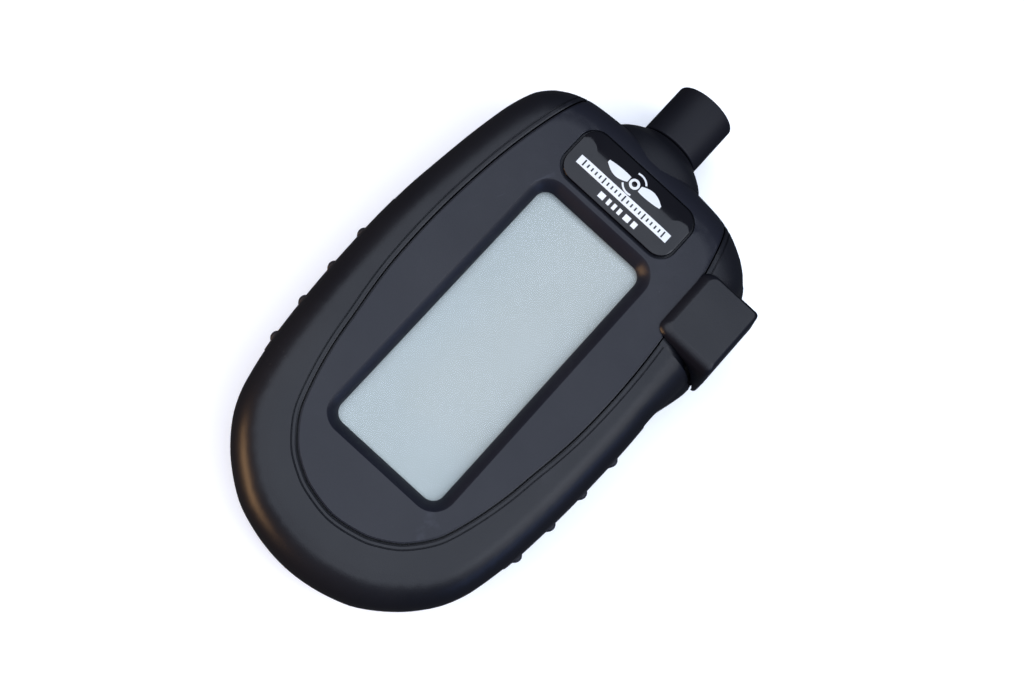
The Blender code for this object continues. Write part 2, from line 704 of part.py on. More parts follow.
def make_battery():
    low_plate, high_plate = BAY_Y[0] + GAP, BAY_Y[1] - GAP
    sheet = 0.4
    make_cell("battery_cell_left", -CELL_X, high_plate - sheet - GAP + 0.1, 1)
    make_cell("battery_cell_right", CELL_X, low_plate + sheet + GAP, -1)
    make_spring("bridge_spring", -CELL_X, low_plate + sheet + GAP, 1)
    make_spring("negative_spring", CELL_X, high_plate - sheet - GAP, -1)

    bridge_y = (low_plate, low_plate + sheet)
    finish(box("bridge_contact", (-9.8, 9.8), bridge_y, (3.2, 11.6)), "tin_steel")
    plates = (("positive_contact", -CELL_X, "red"), ("negative_contact", CELL_X, "black"))
    for name, x, colour in plates:
        plate = box(name, (x - 4.3, x + 4.3), (high_plate - sheet, high_plate), (3.2, 12.3))
        tail = box("tail", (x - 1.0, x + 1.0), (high_plate - sheet, 12.0), (11.4, 11.9))
        finish(join(plate, tail), "tin_steel")
        route = [(x, 12.4, 11.6), (x, 13.8, 11.8), (x, 15.0, 12.8), (x, 15.2, 14.0)]
        wire = tube_along("battery_lead_" + colour, smooth_through(route, 4), 0.55)
        finish(wire, "wire_" + colour)


def make_door():
    door = box("battery_door", (-DOOR_HALF_WIDTH, DOOR_HALF_WIDTH), DOOR_Y, DOOR_Z)
    for x in (-TAB_X, TAB_X):
        riser = box("riser", (x - 2, x + 2), (12.6, 13.3), (1.0, 3.2))
        tab = box("tab", (x - 1.9, x + 1.9), (12.9, 15.4), (DOOR_Z[1] + GAP, 3.3))
        join(door, riser, tab)
    finish(door, "case_plastic", origin=(0, *DOOR_PIVOT))


def make_screws():
    for number, (x, y) in enumerate(CASE_SCREWS, 1):
        profile = [(0.6, 0), (0.6, 2.2), (1.0, 2.6), (2.7, 2.6), (2.7, 1.2), (13.5, 1.2), (14.5, 0)]
        screw = turned(f"case_screw_{number}", profile, (x, y, 0), (0, 0, 1), 12)
        finish(screw, "screw_steel")
    for number, (x, y) in enumerate(BOARD_SCREWS, 1):
        profile = [(12.8, 0), (12.8, 1.9), (14.1, 1.9), (14.1, 0.9), (19.0, 0.9), (19.6, 0)]
        screw = turned(f"board_screw_{number}", profile, (x, y, 0), (0, 0, 1), 12)
        finish(screw, "screw_steel")


# ---------------------------------------------------------------- scene


def material(slot):
    found = bpy.data.materials.get(slot)
    if found:
        return found
    colour, roughness, metallic = MATERIALS[slot]
    made = bpy.data.materials.new(slot)
    made.use_nodes = True
    shader = made.node_tree.nodes["Principled BSDF"]
    shader.inputs["Base Color"].default_value = (*colour, 1)
    shader.inputs["Roughness"].default_value = roughness
    shader.inputs["Metallic"].default_value = metallic
    return made


def in_metres(obj, origin):
    """Scales the mesh from millimetres to metres about origin, and hangs the object from the frame."""
    obj.data.transform(Matrix.Scale(MM, 4) @ Matrix.Translation(-Vector(origin)))
    obj.parent = bpy.data.objects["tachometer_frame"]
    obj.location = Vector(origin) * MM


def finish(obj, slot, origin=(0, 0, 0)):
    """Weld, material, shading and place of a finished piece. origin is on its joint, if it has one."""
    bm = bmesh.new()
    bm.from_mesh(obj.data)
    bmesh.ops.remove_doubles(bm, verts=bm.verts, dist=0.002)
    bm.to_mesh(obj.data)
    bm.free()
    obj.data.materials.clear()
    obj.data.materials.append(material(slot))
    obj.data.shade_smooth()
    obj.data.set_sharp_from_angle(angle=math.radians(35))
    in_metres(obj, origin)
    return obj


def main():
    for obj in list(bpy.data.objects):
        bpy.data.objects.remove(obj)
    frame = bpy.data.objects.new("tachometer_frame", None)
    frame.location = (-FRAME_X * MM, -FRAME_Y * MM, 0)
    bpy.context.scene.collection.objects.link(frame)

    make_front_shell()
    make_face_plate()
    make_rear_shell()
    make_grip("side_grip_right", 1)
    make_grip("side_grip_left", -1)
    make_display()
    make_label()
    make_sensor()
    make_button()
    make_board()
    make_battery()
    make_door()
    make_screws()


main()
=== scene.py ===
"""Pocket optical tachometer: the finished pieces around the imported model.

The file is laid out as an add-on. Every operator makes one piece or one group of like pieces, or the
stage, from the sizes and colours in its property group. Shapes are modelled in millimetres with the
case lying on its back, centred on x = 0, its sensor tube along +y and the display up. settle() moves
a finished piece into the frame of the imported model, in metres.
"""

import math
from functools import lru_cache

import bmesh
import bpy
from bpy.props import FloatProperty, FloatVectorProperty, IntProperty, PointerProperty
from mathutils import Matrix, Vector
from mathutils.bvhtree import BVHTree


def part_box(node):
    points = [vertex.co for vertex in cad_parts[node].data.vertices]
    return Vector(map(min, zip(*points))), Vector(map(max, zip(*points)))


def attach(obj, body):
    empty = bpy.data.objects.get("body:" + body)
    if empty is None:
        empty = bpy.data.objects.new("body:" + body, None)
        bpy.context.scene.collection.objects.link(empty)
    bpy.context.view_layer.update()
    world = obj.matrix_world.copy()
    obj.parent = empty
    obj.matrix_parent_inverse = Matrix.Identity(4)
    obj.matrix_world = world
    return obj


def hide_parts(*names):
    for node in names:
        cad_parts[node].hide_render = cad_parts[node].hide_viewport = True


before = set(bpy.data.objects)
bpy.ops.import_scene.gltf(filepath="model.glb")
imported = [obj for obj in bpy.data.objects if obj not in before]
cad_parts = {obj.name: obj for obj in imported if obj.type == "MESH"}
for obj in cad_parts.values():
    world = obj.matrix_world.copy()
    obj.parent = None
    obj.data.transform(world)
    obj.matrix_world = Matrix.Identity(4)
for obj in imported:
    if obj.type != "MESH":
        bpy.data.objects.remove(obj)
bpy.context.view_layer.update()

bl_info = {
    "name": "Pocket tachometer",
    "version": (1, 0, 0),
    "blender": (4, 5, 0),
    "location": "View3D > Sidebar > Tachometer",
    "description": "Builds a pocket optical tachometer and a plain studio around it",
    "category": "Add Mesh",
}

MM = 0.001
GAP = 0.3  # clearance between pieces that touch

# Case outline: the right half from the base to the sensor end, as (half width, y)
OUTLINE = (
    (0.0, -55.4), (6.0, -54.8), (12.0, -53.1), (15.9, -51.0), (19.8, -48.0), (22.7, -45.0),
    (24.9, -42.0), (26.4, -39.0), (27.4, -36.0), (28.7, -30.0), (29.5, -24.0), (30.3, -15.0),
    (30.7, -6.0), (30.85, 2.0), (30.6, 9.5), (30.0, 16.0), (29.1, 24.0), (28.2, 30.0),
    (27.4, 34.0), (26.1, 38.0), (24.8, 40.2), (22.7, 42.3), (18.8, 44.4), (13.2, 45.5), (0.0, 46.1),
)
FINE, COARSE = 232, 60  # points round the outline
ARC_STEPS = 12

# Case section
THICKNESS = 25.0
PARTING_Z = 12.5
FRONT_ROUND_IN = 6.2
FRONT_ROUND_Z = 17.6
SHOULDER_Z = 24.7
FACE_INSET = 8.0
BACK_ROUND_IN = 5.0
BACK_ROUND_Z = 6.5
WALL = 2.0
FACE_WALL = 3.8
END_WALL_Y = 41.6
SWELL = 3.2
SWELL_RISE = (7.0, 19.0)
SWELL_FALL = (38.5, 44.0)
SWELL_SHARES = ((14.6, 0.95), (16.4, 0.75))

# Face panel, display and label
PANEL_OUTLINE = (
    (0.0, -43.4), (6.0, -42.4), (9.0, -41.1), (11.0, -39.9), (12.5, -38.7), (14.9, -35.9),
    (16.7, -32.8), (18.6, -27.0), (20.0, -21.0), (20.9, -15.0), (21.8, -9.0), (22.4, -3.0),
    (22.65, 5.0), (22.5, 12.0), (22.1, 18.0), (21.5, 24.0), (20.6, 30.0), (19.4, 36.0),
    (17.8, 42.0), (15.4, 50.0),
)
PANEL_THICKNESS = 2.2
PANEL_LOW_Z = 18.0
PANEL_POINTS = 120
LIP_DEPTH = 0.22
LINE_DEPTH = 0.3
LINE_END_Y = 47.5
WINDOW_Y = -2.4
WINDOW_SIZE = (24.0, 56.2)
WINDOW_CORNER = 2.4
GLASS_SIZE = (26.4, 58.6)
LABEL_Y = 34.7
LABEL_SIZE = (26.0, 10.8)
LABEL_CORNER = 3.2
LABEL_LOW_Z = 24.7

# Sensor end: everything round about the axis y at z = PARTING_Z
HOOD_RADIUS = 6.3
HOOD_MOUTH_RADIUS = 5.1
HOOD_Y = (50.5, 61.8)
SPIGOT_RADIUS = 5.2
FLANGE_RADIUS = 6.5
FLANGE_Y = (41.9, 43.1)
COLLAR = ((42.5, 11.3), (46.0, 10.9), (47.3, 10.2), (48.5, 8.8), (49.4, 7.5), (50.0, 6.7))

# Push button
CAP_LEFT = 19.8
CAP_Y = (18.4, 34.2)
CAP_Z = (13.5, 26.5)
CAP_EDGE = 0.3  # how far the cap's lowest edge is broken
CAP_BEVEL = 2.1  # height of the bevel round the cap's top
FACE_BEVEL, TOP_BEVEL = 1.3, 0.6  # height of the bevel towards the display, and of the last rounding
CAP_CORNERS = (2.0, 0.9)  # corner radii towards the display and the side
CAP_WALLS = (  # (z, x of the side, lean of the wall towards the base) from the lowest edge to the bevel
    (CAP_Z[0], 33.7, 0.3), (CAP_Z[0] + CAP_EDGE, 34.0, 0.0),
    (19.0, 33.5, 0.1), (22.0, 33.0, 0.3), (CAP_Z[1] - CAP_BEVEL, 32.6, 0.6),
)
CAP_TRAVEL = 1.2
WELL_X = 21.8
STEM_Y = 26.0
STEM_Z = 18.3
STEM_HALF = 1.5

# Side grips
GRIP_Y = (-29.8, 6.4)
GRIP_Z = (7.5, 17.3)
GRIP_DEPTH = 0.6

# Battery bay and door
CELL_X = 5.5
BAY_HALF_WIDTH = 11.2
BAY_Y = (-41.0, 9.6)
BAY_TOP = 12.9
DOOR_HALF_WIDTH = 13.0
DOOR_Y = (-43.5, 13.5)
DOOR_Z = (0.25, 2.0)
TAB_X = 8.0

# Share of its colour that the floor shows to everything but the camera
FLOOR_UNSEEN = 0.05

CASE_SCREWS = tuple(f"case_screw_{number}" for number in range(1, 5))
POST_PLACES = ((-19.0, 34.5), (19.0, 34.5), (-18.5, -37.0), (18.5, -37.0))
BOARD_POSTS = ((-17.2, 20.0), (-17.2, -24.0), (17.2, -24.0))

# Where the case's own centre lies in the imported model's frame
_glass_low, _glass_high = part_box("display_window")
CENTRE = Vector(((_glass_low.x + _glass_high.x) / 2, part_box("front_shell")[0].y - OUTLINE[0][1] * MM, 0))


# ---------------------------------------------------------------- settings


def length(name, description, default):
    return FloatProperty(
        name=name, description=description, default=default, precision=5, unit="LENGTH", subtype="DISTANCE"
    )


def angle(name, description, default):
    return FloatProperty(
        name=name, description=description, default=math.radians(default), unit="ROTATION", subtype="ANGLE"
    )


def factor(name, description, default):
    return FloatProperty(name=name, description=description, default=default, min=0, max=1, subtype="FACTOR")


def watts(name, description, default):
    return FloatProperty(name=name, description=description, default=default, min=0, unit="POWER")


def colour(name, description, default):
    return FloatVectorProperty(
        name=name, description=description, default=default, size=3, min=0, max=1, subtype="COLOR"
    )


class CaseSettings(bpy.types.PropertyGroup):
    shade: colour("Case colour", "Colour of the moulded case halves", (0.0042, 0.0046, 0.0074))
    roughness: factor("Roughness", "Roughness of the moulded case halves", 0.33)
    line_offset: length("Line offset", "From the panel's gap to the engraved line round it", 0.00085)
    line_cutter: length("Line cutter", "Thickness of the round cutter that engraves the line", 0.00042)
    lip: length("Lip", "Width of the soft lips of the gap round the panel", 0.00075)


class PanelSettings(bpy.types.PropertyGroup):
    shade: colour("Panel colour", "Colour of the face panel", (0.0062, 0.0069, 0.0122))
    roughness: factor("Roughness", "Roughness of the face panel", 0.33)
    window_rounding: length("Window rounding", "How far the display opening's edge is bevelled", 0.0021)


class GlassSettings(bpy.types.PropertyGroup):
    shade: colour("Display colour", "Colour of the blank display", (0.28, 0.305, 0.275))
    tint: colour("Window tint", "Colour of the clear window over the display", (0.62, 0.7, 0.74))


class LabelSettings(bpy.types.PropertyGroup):
    crown: length("Crown", "Height of the label's dome above its rim", 0.0005)
    ticks: IntProperty(name="Ticks", description="Dark ticks on the printed scale", default=21, min=2)
    tick_pitch: length("Tick pitch", "Distance between two ticks", 0.00096)
    print_shade: colour("Print colour", "Colour of the print on the label", (0.6, 0.61, 0.62))


class HoodSettings(bpy.types.PropertyGroup):
    shade: colour("Hood colour", "Colour of the sensor hood", (0.006, 0.006, 0.009))
    roughness: factor("Roughness", "Roughness of the sensor hood", 0.42)
    rim: length("Rim rounding", "Rounding of the rim at the hood's mouth", 0.00035)


class ButtonSettings(bpy.types.PropertyGroup):
    shade: colour("Button colour", "Colour of the push button", (0.0038, 0.0042, 0.0072))
    roughness: factor("Roughness", "Roughness of the push button", 0.3)
    rounding: length("Edge rounding", "Reach of the cap's bevel that faces the display", 0.0017)


class GripSettings(bpy.types.PropertyGroup):
    shade: colour("Rubber colour", "Colour of the rubber grips", (0.009, 0.009, 0.013))
    ribs: IntProperty(name="Ribs", description="Ribs on each grip", default=4, min=1)
    first: length("First rib", "Place of the rib nearest the sensor, measured from the case's middle", -0.002)
    pitch: length("Rib pitch", "Distance between two ribs", 0.0082)
    radius: length("Rib radius", "Radius of a rib", 0.00135)
    proud: length("Rib height", "How far a rib stands out of the grip", 0.00072)


class DoorSettings(bpy.types.PropertyGroup):
    ridges: IntProperty(name="Ridges", description="Finger ridges on the battery door", default=6, min=1)
    ridge_pitch: length("Ridge pitch", "Distance between two ridges", 0.0019)
    ridge_length: length("Ridge length", "Length of a ridge across the door", 0.014)


class ScrewSettings(bpy.types.PropertyGroup):
    shade: colour("Screw colour", "Colour of the blackened screws", (0.1, 0.1, 0.105))
    slot_width: length("Slot width", "Width of the cross recess", 0.0007)
    slot_depth: length("Slot depth", "Depth of the cross recess", 0.0011)
    seed: IntProperty(name="Seed", description="Seed of the angles that the screws stop at", default=7)


class StageSettings(bpy.types.PropertyGroup):
    floor: colour("Floor", "Colour of the plain floor", (0.88, 0.885, 0.9))
    distance: length("Camera distance", "From the camera to the face panel", 0.265)
    tilt: angle("Camera tilt", "How far the camera leans back from straight above", 11.5)
    turn: angle("Camera turn", "How far the camera is turned about its own axis", 42.5)
    lens: FloatProperty(name="Lens", description="Focal length", default=52.73, unit="CAMERA")
    key: watts("Key light", "Power of the softbox overhead", 16.0)
    side: watts("Side light", "Power of the softbox on the button's side", 3.0)
    warm: watts("Warm light", "Power of the low warm light beyond the base", 4.5)
    cool: watts("Cool light", "Power of the low blue light on the button's side", 0.35)


class TachometerSettings(bpy.types.PropertyGroup):
    case: PointerProperty(type=CaseSettings)
    panel: PointerProperty(type=PanelSettings)
    glass: PointerProperty(type=GlassSettings)
    label: PointerProperty(type=LabelSettings)
    hood: PointerProperty(type=HoodSettings)
    button: PointerProperty(type=ButtonSettings)
    grip: PointerProperty(type=GripSettings)
    door: PointerProperty(type=DoorSettings)
    screw: PointerProperty(type=ScrewSettings)
    stage: PointerProperty(type=StageSettings)


# ---------------------------------------------------------------- outlines


def smooth_through(points, steps=5, before=None, after=None):
    """Points on a Catmull-Rom curve through the given ones."""
    padded = [before or points[0], *points, after or points[-1]]
    found = []
    for p0, p1, p2, p3 in zip(padded, padded[1:], padded[2:], padded[3:]):
        a, b, c, d = (Vector(p) for p in (p0, p1, p2, p3))
        for i in range(steps):
            t = i / steps
            bend = 2 * b + (c - a) * t + (2 * a - 5 * b + 4 * c - d) * t**2
            found.append((bend + (3 * b - a - 3 * c + d) * t**3) / 2)
    return [*found, Vector(points[-1])]


def moved_outwards(points, grow, before, after):
    """A polyline's points moved to its right by grow."""
    padded = [before, *points, after]
    moved = []
    for previous, here, following in zip(padded, padded[1:], padded[2:]):
        along = (Vector(following) - Vector(previous)).normalized()
        moved.append((here[0] + along.y * grow, here[1] - along.x * grow))
    return moved


def evenly_spaced(points, count):
    """count points at equal steps along an open polyline."""
    lengths = [0.0]
    for a, b in zip(points, points[1:]):
        lengths.append(lengths[-1] + math.dist(a, b))
    found, k = [], 0
    for i in range(count):
        wanted = lengths[-1] * i / (count - 1)
        while k < len(lengths) - 2 and lengths[k + 1] < wanted:
            k += 1
        share = (wanted - lengths[k]) / max(lengths[k + 1] - lengths[k], 1e-9)
        found.append(tuple(a + (b - a) * share for a, b in zip(points[k], points[k + 1])))
    return found


def flipped(point):
    return (-point[0], point[1])


def mirrored(half):
    """A closed outline from its right half, whose first and last points are on the middle line."""
    return half + [flipped(point) for point in reversed(half[1:-1])]


@lru_cache(maxsize=None)
def case_outline(inset, count=FINE):
    """The case's outline drawn in by inset, as a closed anticlockwise list of (x, y)."""
    half = smooth_through(OUTLINE, 10, flipped(OUTLINE[1]), flipped(OUTLINE[-2]))
    half = moved_outwards(half, -inset, flipped(half[1]), flipped(half[-2]))
    return mirrored(evenly_spaced(half, count // 2 + 1))


def smooth_step(value, start, end):
    share = min(max((value - start) / (end - start), 0.0), 1.0)
    return share * share * (3 - 2 * share)


def swell_at(y):
    return SWELL * smooth_step(y, *SWELL_RISE) * (1 - smooth_step(y, *SWELL_FALL))


def panel_outline(grow):
    """The face panel's U, which runs on past the sensor end, drawn out by grow."""
    half = smooth_through(PANEL_OUTLINE, 8, flipped(PANEL_OUTLINE[1]))
    half = moved_outwards(half, grow, flipped(half[1]), half[-1])
    half = evenly_spaced(half, PANEL_POINTS)
    return half + [flipped(point) for point in reversed(half[1:])]


def rounded_rectangle(width, height, radius, centre_y=0.0, corner_steps=10):
    points = []
    for quarter, (sx, sy) in enumerate(((1, -1), (1, 1), (-1, 1), (-1, -1))):
        centre = (sx * (width / 2 - radius), sy * (height / 2 - radius) + centre_y)
        for i in range(corner_steps + 1):
            turn = math.pi / 2 * (quarter - 1 + i / corner_steps)
            points.append((centre[0] + radius * math.cos(turn), centre[1] + radius * math.sin(turn)))
    return points


def soft_chamfer(rise, fullness=1.2):
    """How far a softened chamfer has drawn in, as a share of its reach, at a share of its height."""
    return 1 - (1 - min(max(rise, 0.0), 1.0) ** fullness) ** (1 / fullness)


def quarter_round(centre, radius, start, end, steps=6):
    """Points on an arc about centre from the angle start to end, in degrees, for a turned profile."""
    turns = [math.radians(start + (end - start) * i / steps) for i in range(steps + 1)]
    return [(centre[0] + radius * math.cos(t), centre[1] + radius * math.sin(t)) for t in turns]


# ---------------------------------------------------------------- solids


def linked(name, mesh):
    obj = bpy.data.objects.new(name, mesh)
    bpy.context.scene.collection.objects.link(obj)
    return obj


def solid(name, fill):
    """A new object. fill puts the faces into a bmesh."""
    mesh = bpy.data.meshes.new(name)
    bm = bmesh.new()
    fill(bm)
    bmesh.ops.connect_verts_nonplanar(bm, angle_limit=0.0005, faces=bm.faces)
    bmesh.ops.recalc_face_normals(bm, faces=bm.faces)
    bm.to_mesh(mesh)
    bm.free()
    return linked(name, mesh)


def loft(name, rings):
    """A closed solid through rings of equally many points, from the first to the last."""

    def fill(bm):
        rows = [[bm.verts.new(p) for p in ring] for ring in rings]
        count = len(rows[0])
        for low, high in zip(rows, rows[1:]):
            for i in range(count):
                j = (i + 1) % count
                bm.faces.new((low[i], low[j], high[j], high[i]))
        bm.faces.new(list(reversed(rows[0])))
        bm.faces.new(rows[-1])

    return solid(name, fill)


def prism(name, outline, *levels):
    return loft(name, [[(x, y, z) for x, y in outline] for z in levels])


def box(name, x, y, z):
    """A block from its limits along x, y and z."""
    return prism(name, [(x[0], y[0]), (x[1], y[0]), (x[1], y[1]), (x[0], y[1])], *z)


def flared_box(name, half_x, y, top_z, flare, depth):
    """A block from below z = 0 up to top_z, whose sides open by flare over the last depth above z = 0."""
    rings = []
    for grow, z in ((flare + 0.6, -0.6 * depth / flare), (0.0, depth), (0.0, top_z)):
        width, height = 2 * (half_x + grow), y[1] - y[0] + 2 * grow
        outline = rounded_rectangle(width, height, 0.9 + grow, (y[0] + y[1]) / 2, 6)
        rings.append([(px, py, z) for px, py in outline])
    return loft(name, rings)


def turned(name, profile, axis_point, direction, sides=96):
    """A closed profile of (distance along direction, radius), turned about a line through axis_point."""
    turn = Vector((0, 0, 1)).rotation_difference(Vector(direction)).to_matrix().to_4x4()
    place = Matrix.Translation(axis_point) @ turn

    def fill(bm):
        rows = []
        for along, radius in profile:
            if radius < 1e-6:
                rows.append([bm.verts.new((0, 0, along))])
                continue
            turns = [2 * math.pi * k / sides for k in range(sides)]
            rows.append([bm.verts.new((radius * math.cos(a), radius * math.sin(a), along)) for a in turns])
        for first, second in zip(rows, rows[1:] + rows[:1]):
            if len(first) == 1 and len(second) == 1:
                continue
            for k in range(sides):
                m = (k + 1) % sides
                around = [first[k % len(first)], first[m % len(first)]]
                around += [second[m % len(second)], second[k % len(second)]]
                bm.faces.new(list(dict.fromkeys(around)))
        bm.transform(place)

    return solid(name, fill)


def cylinder(name, centre, direction, radius, run, sides=32):
    """A plain cylinder that starts at centre and runs along direction."""
    return turned(name, [(0, 0), (0, radius), (run, radius), (run, 0)], centre, direction, sides)


def plain_mesh(obj):
    """The object's mesh as its modifiers leave it."""
    graph = bpy.context.evaluated_depsgraph_get()
    return bpy.data.meshes.new_from_object(obj.evaluated_get(graph), depsgraph=graph)


def applied(obj):
    mesh = plain_mesh(obj)
    obj.modifiers.clear()
    obj.data = mesh
    return obj


def tube_along(name, points, radius, level=2):
    """A rod of round section through points."""
    curve = bpy.data.curves.new(name, "CURVE")
    curve.dimensions = "3D"
    curve.bevel_depth = radius
    curve.bevel_resolution = level
    curve.use_fill_caps = True
    spline = curve.splines.new("POLY")
    spline.points.add(len(points) - 1)
    for target, point in zip(spline.points, points):
        target.co = (*point, 1)
    guide = linked(name + "_guide", curve)
    mesh = plain_mesh(guide)
    bpy.data.objects.remove(guide)
    bm = bmesh.new()
    bm.from_mesh(mesh)
    bmesh.ops.remove_doubles(bm, verts=bm.verts, dist=0.001)
    bmesh.ops.recalc_face_normals(bm, faces=bm.faces)
    bm.to_mesh(mesh)
    bm.free()
    return linked(name, mesh)


def grouped(first, *others):
    """Several solids that don't touch, as one object."""
    bm = bmesh.new()
    for obj in (first, *others):
        bm.from_mesh(obj.data)
    bm.to_mesh(first.data)
    bm.free()
    for obj in others:
        bpy.data.objects.remove(obj)
    return first


def combine(target, tool, operation):
    """Applies one Boolean to target and removes the tool."""
    modifier = target.modifiers.new(operation, "BOOLEAN")
    modifier.operation = operation
    modifier.solver = "EXACT"
    modifier.object = tool
    applied(target)
    bpy.data.objects.remove(tool)
    if not target.data.polygons:
        raise RuntimeError(f"nothing is left of {target.name}")
    return target


def cut(target, *tools):
    for tool in tools:
        combine(target, tool, "DIFFERENCE")
    return target


def join(target, *tools):
    for tool in tools:
        combine(target, tool, "UNION")
    return target


def soft_edges(obj, width, segments=3, limit=30):
    """Rounds the edges of a simple solid."""
    modifier = obj.modifiers.new("soft_edges", "BEVEL")
    modifier.width = width
    modifier.segments = segments
    modifier.limit_method = "ANGLE"
    modifier.angle_limit = math.radians(limit)
    modifier.use_clamp_overlap = True
    return applied(obj)


def shaded(obj, sharp=32):
    """Smooth shading that keeps flat areas flat, with edges over sharp degrees left crisp."""
    obj.data.shade_smooth()
    obj.data.set_sharp_from_angle(angle=math.radians(sharp))
    modifier = obj.modifiers.new("weighted", "WEIGHTED_NORMAL")
    modifier.weight = 50
    modifier.keep_sharp = True
    return applied(obj)


def settle(obj, body, material, slot, *nodes, sharp=32):
    """Cleans a finished piece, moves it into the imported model's frame and makes it ride there."""
    bm = bmesh.new()
    bm.from_mesh(obj.data)
    bmesh.ops.remove_doubles(bm, verts=bm.verts, dist=0.0008)
    bmesh.ops.dissolve_degenerate(bm, dist=0.0004, edges=bm.edges)
    bm.to_mesh(obj.data)
    bm.free()
    obj.data.transform(Matrix.Translation(CENTRE) @ Matrix.Scale(MM, 4))
    shaded(obj, sharp)
    obj.data.materials.clear()
    obj.data.materials.append(material)
    obj.data.name = obj.name
    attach(obj, body)
    if nodes:
        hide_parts(*nodes)
    return obj


# ---------------------------------------------------------------- node helpers


def socket(tree, name, kind, default=None, output=False):
    """Adds one named socket to a tree's interface and returns it."""
    made = tree.interface.new_socket(name=name, in_out="OUTPUT" if output else "INPUT", socket_type=kind)
    if default is not None:
        made.default_value = default
    return made


def node(tree, kind, inputs=None, **settings):
    """Adds a node. A value in inputs is either a number or another node's output to link."""
    made = tree.nodes.new(kind)
    for name, value in settings.items():
        setattr(made, name, value)
    for name, value in (inputs or {}).items():
        if isinstance(value, bpy.types.NodeSocket):
            tree.links.new(value, made.inputs[name])
        else:
            made.inputs[name].default_value = value
    return made


def maths(tree, operation, *values, clamp=False):
    made = node(tree, "ShaderNodeMath", dict(enumerate(values)), operation=operation, use_clamp=clamp)
    return made.outputs[0]


def mixed(tree, share, first, second):
    """A colour between first and second."""
    made = node(tree, "ShaderNodeMix", {0: share, 6: first, 7: second}, data_type="RGBA")
    return made.outputs[2]


def ramp(tree, value, low, high, low_out=0.0, high_out=1.0):
    made = node(tree, "ShaderNodeMapRange", {0: value, 1: low, 2: high, 3: low_out, 4: high_out})
    made.interpolation_type = "SMOOTHSTEP"
    return made.outputs[0]


def opaque(shade):
    return (*shade, 1.0)


# ---------------------------------------------------------------- shared surface effects


def effect(name, inputs, outputs):
    """An empty shader group with its sockets: (group, input sockets, function that links an output)."""
    group = bpy.data.node_groups.new(name, "ShaderNodeTree")
    for title, kind, default in inputs:
        socket(group, title, kind, default)
    for title, kind in outputs:
        socket(group, title, kind, output=True)
    start = group.nodes.new("NodeGroupInput").outputs
    end = group.nodes.new("NodeGroupOutput").inputs
    return group, start, lambda title, value: group.links.new(value, end[title])


FLOAT, COLOUR, VECTOR = "NodeSocketFloat", "NodeSocketColor", "NodeSocketVector"


def moulded_grain():
    """Fine spark-eroded grain with broad, faint waves: a height and a change of roughness."""
    group, given, give = effect(
        "moulded_grain",
        (("Vector", VECTOR, None), ("Grain", FLOAT, 3200.0), ("Waves", FLOAT, 160.0), ("Spread", FLOAT, 0.1)),
        (("Height", FLOAT), ("Roughness", FLOAT)),
    )
    fine = node(group, "ShaderNodeTexNoise", {"Vector": given["Vector"], "Scale": given["Grain"]})
    fine.inputs["Detail"].default_value = 3.0
    pits = node(group, "ShaderNodeTexVoronoi", {"Vector": given["Vector"], "Scale": given["Grain"]})
    broad = node(group, "ShaderNodeTexNoise", {"Vector": given["Vector"], "Scale": given["Waves"]})
    broad.inputs["Detail"].default_value = 2.0
    height = maths(group, "MULTIPLY_ADD", pits.outputs["Distance"], 0.4, fine.outputs[0])
    give("Height", height)
    change = maths(group, "SUBTRACT", broad.outputs[0], 0.5)
    both = maths(group, "MULTIPLY_ADD", fine.outputs[0], 0.4, change)
    give("Roughness", maths(group, "MULTIPLY", both, given["Spread"]))
    return group


def edge_wear():
    """Where edges are rubbed paler: a mask from the surface's curvature, broken up by noise."""
    group, given, give = effect(
        "edge_wear",
        (
            ("Vector", VECTOR, None), ("Curvature", FLOAT, 0.5),
            ("Amount", FLOAT, 0.5), ("Scale", FLOAT, 500.0),
        ),
        (("Mask", FLOAT),),
    )
    noise = node(group, "ShaderNodeTexNoise", {"Vector": given["Vector"], "Scale": given["Scale"]})
    noise.inputs["Detail"].default_value = 4.0
    edge = ramp(group, given["Curvature"], 0.52, 0.62)
    patches = ramp(group, noise.outputs[0], 0.4, 0.7)
    mask = maths(group, "MULTIPLY", maths(group, "MULTIPLY", edge, patches), given["Amount"])
    give("Mask", mask)
    return group


def fine_dust():
    """Specks and a faint film of dust on whatever faces up: a mask."""
    group, given, give = effect(
        "fine_dust",
        (
            ("Vector", VECTOR, None), ("Normal", VECTOR, None),
            ("Amount", FLOAT, 0.1), ("Specks", FLOAT, 700.0),
        ),
        (("Mask", FLOAT),),
    )
    facing = node(group, "ShaderNodeSeparateXYZ", {0: given["Normal"]}).outputs[2]
    up = ramp(group, facing, 0.3, 1.0)
    cells = node(group, "ShaderNodeTexVoronoi", {"Vector": given["Vector"], "Scale": given["Specks"]})
    specks = maths(group, "MULTIPLY", ramp(group, cells.outputs["Distance"], 0.14, 0.06), 0.3)
    where = node(group, "ShaderNodeTexNoise", {"Vector": given["Vector"], "Scale": 55.0}).outputs[0]
    thin = maths(group, "MULTIPLY", specks, ramp(group, where, 0.55, 0.75))
    film = maths(group, "MULTIPLY_ADD", where, 0.25, thin)
    give("Mask", maths(group, "MULTIPLY", maths(group, "MULTIPLY", film, up), given["Amount"], clamp=True))
    return group


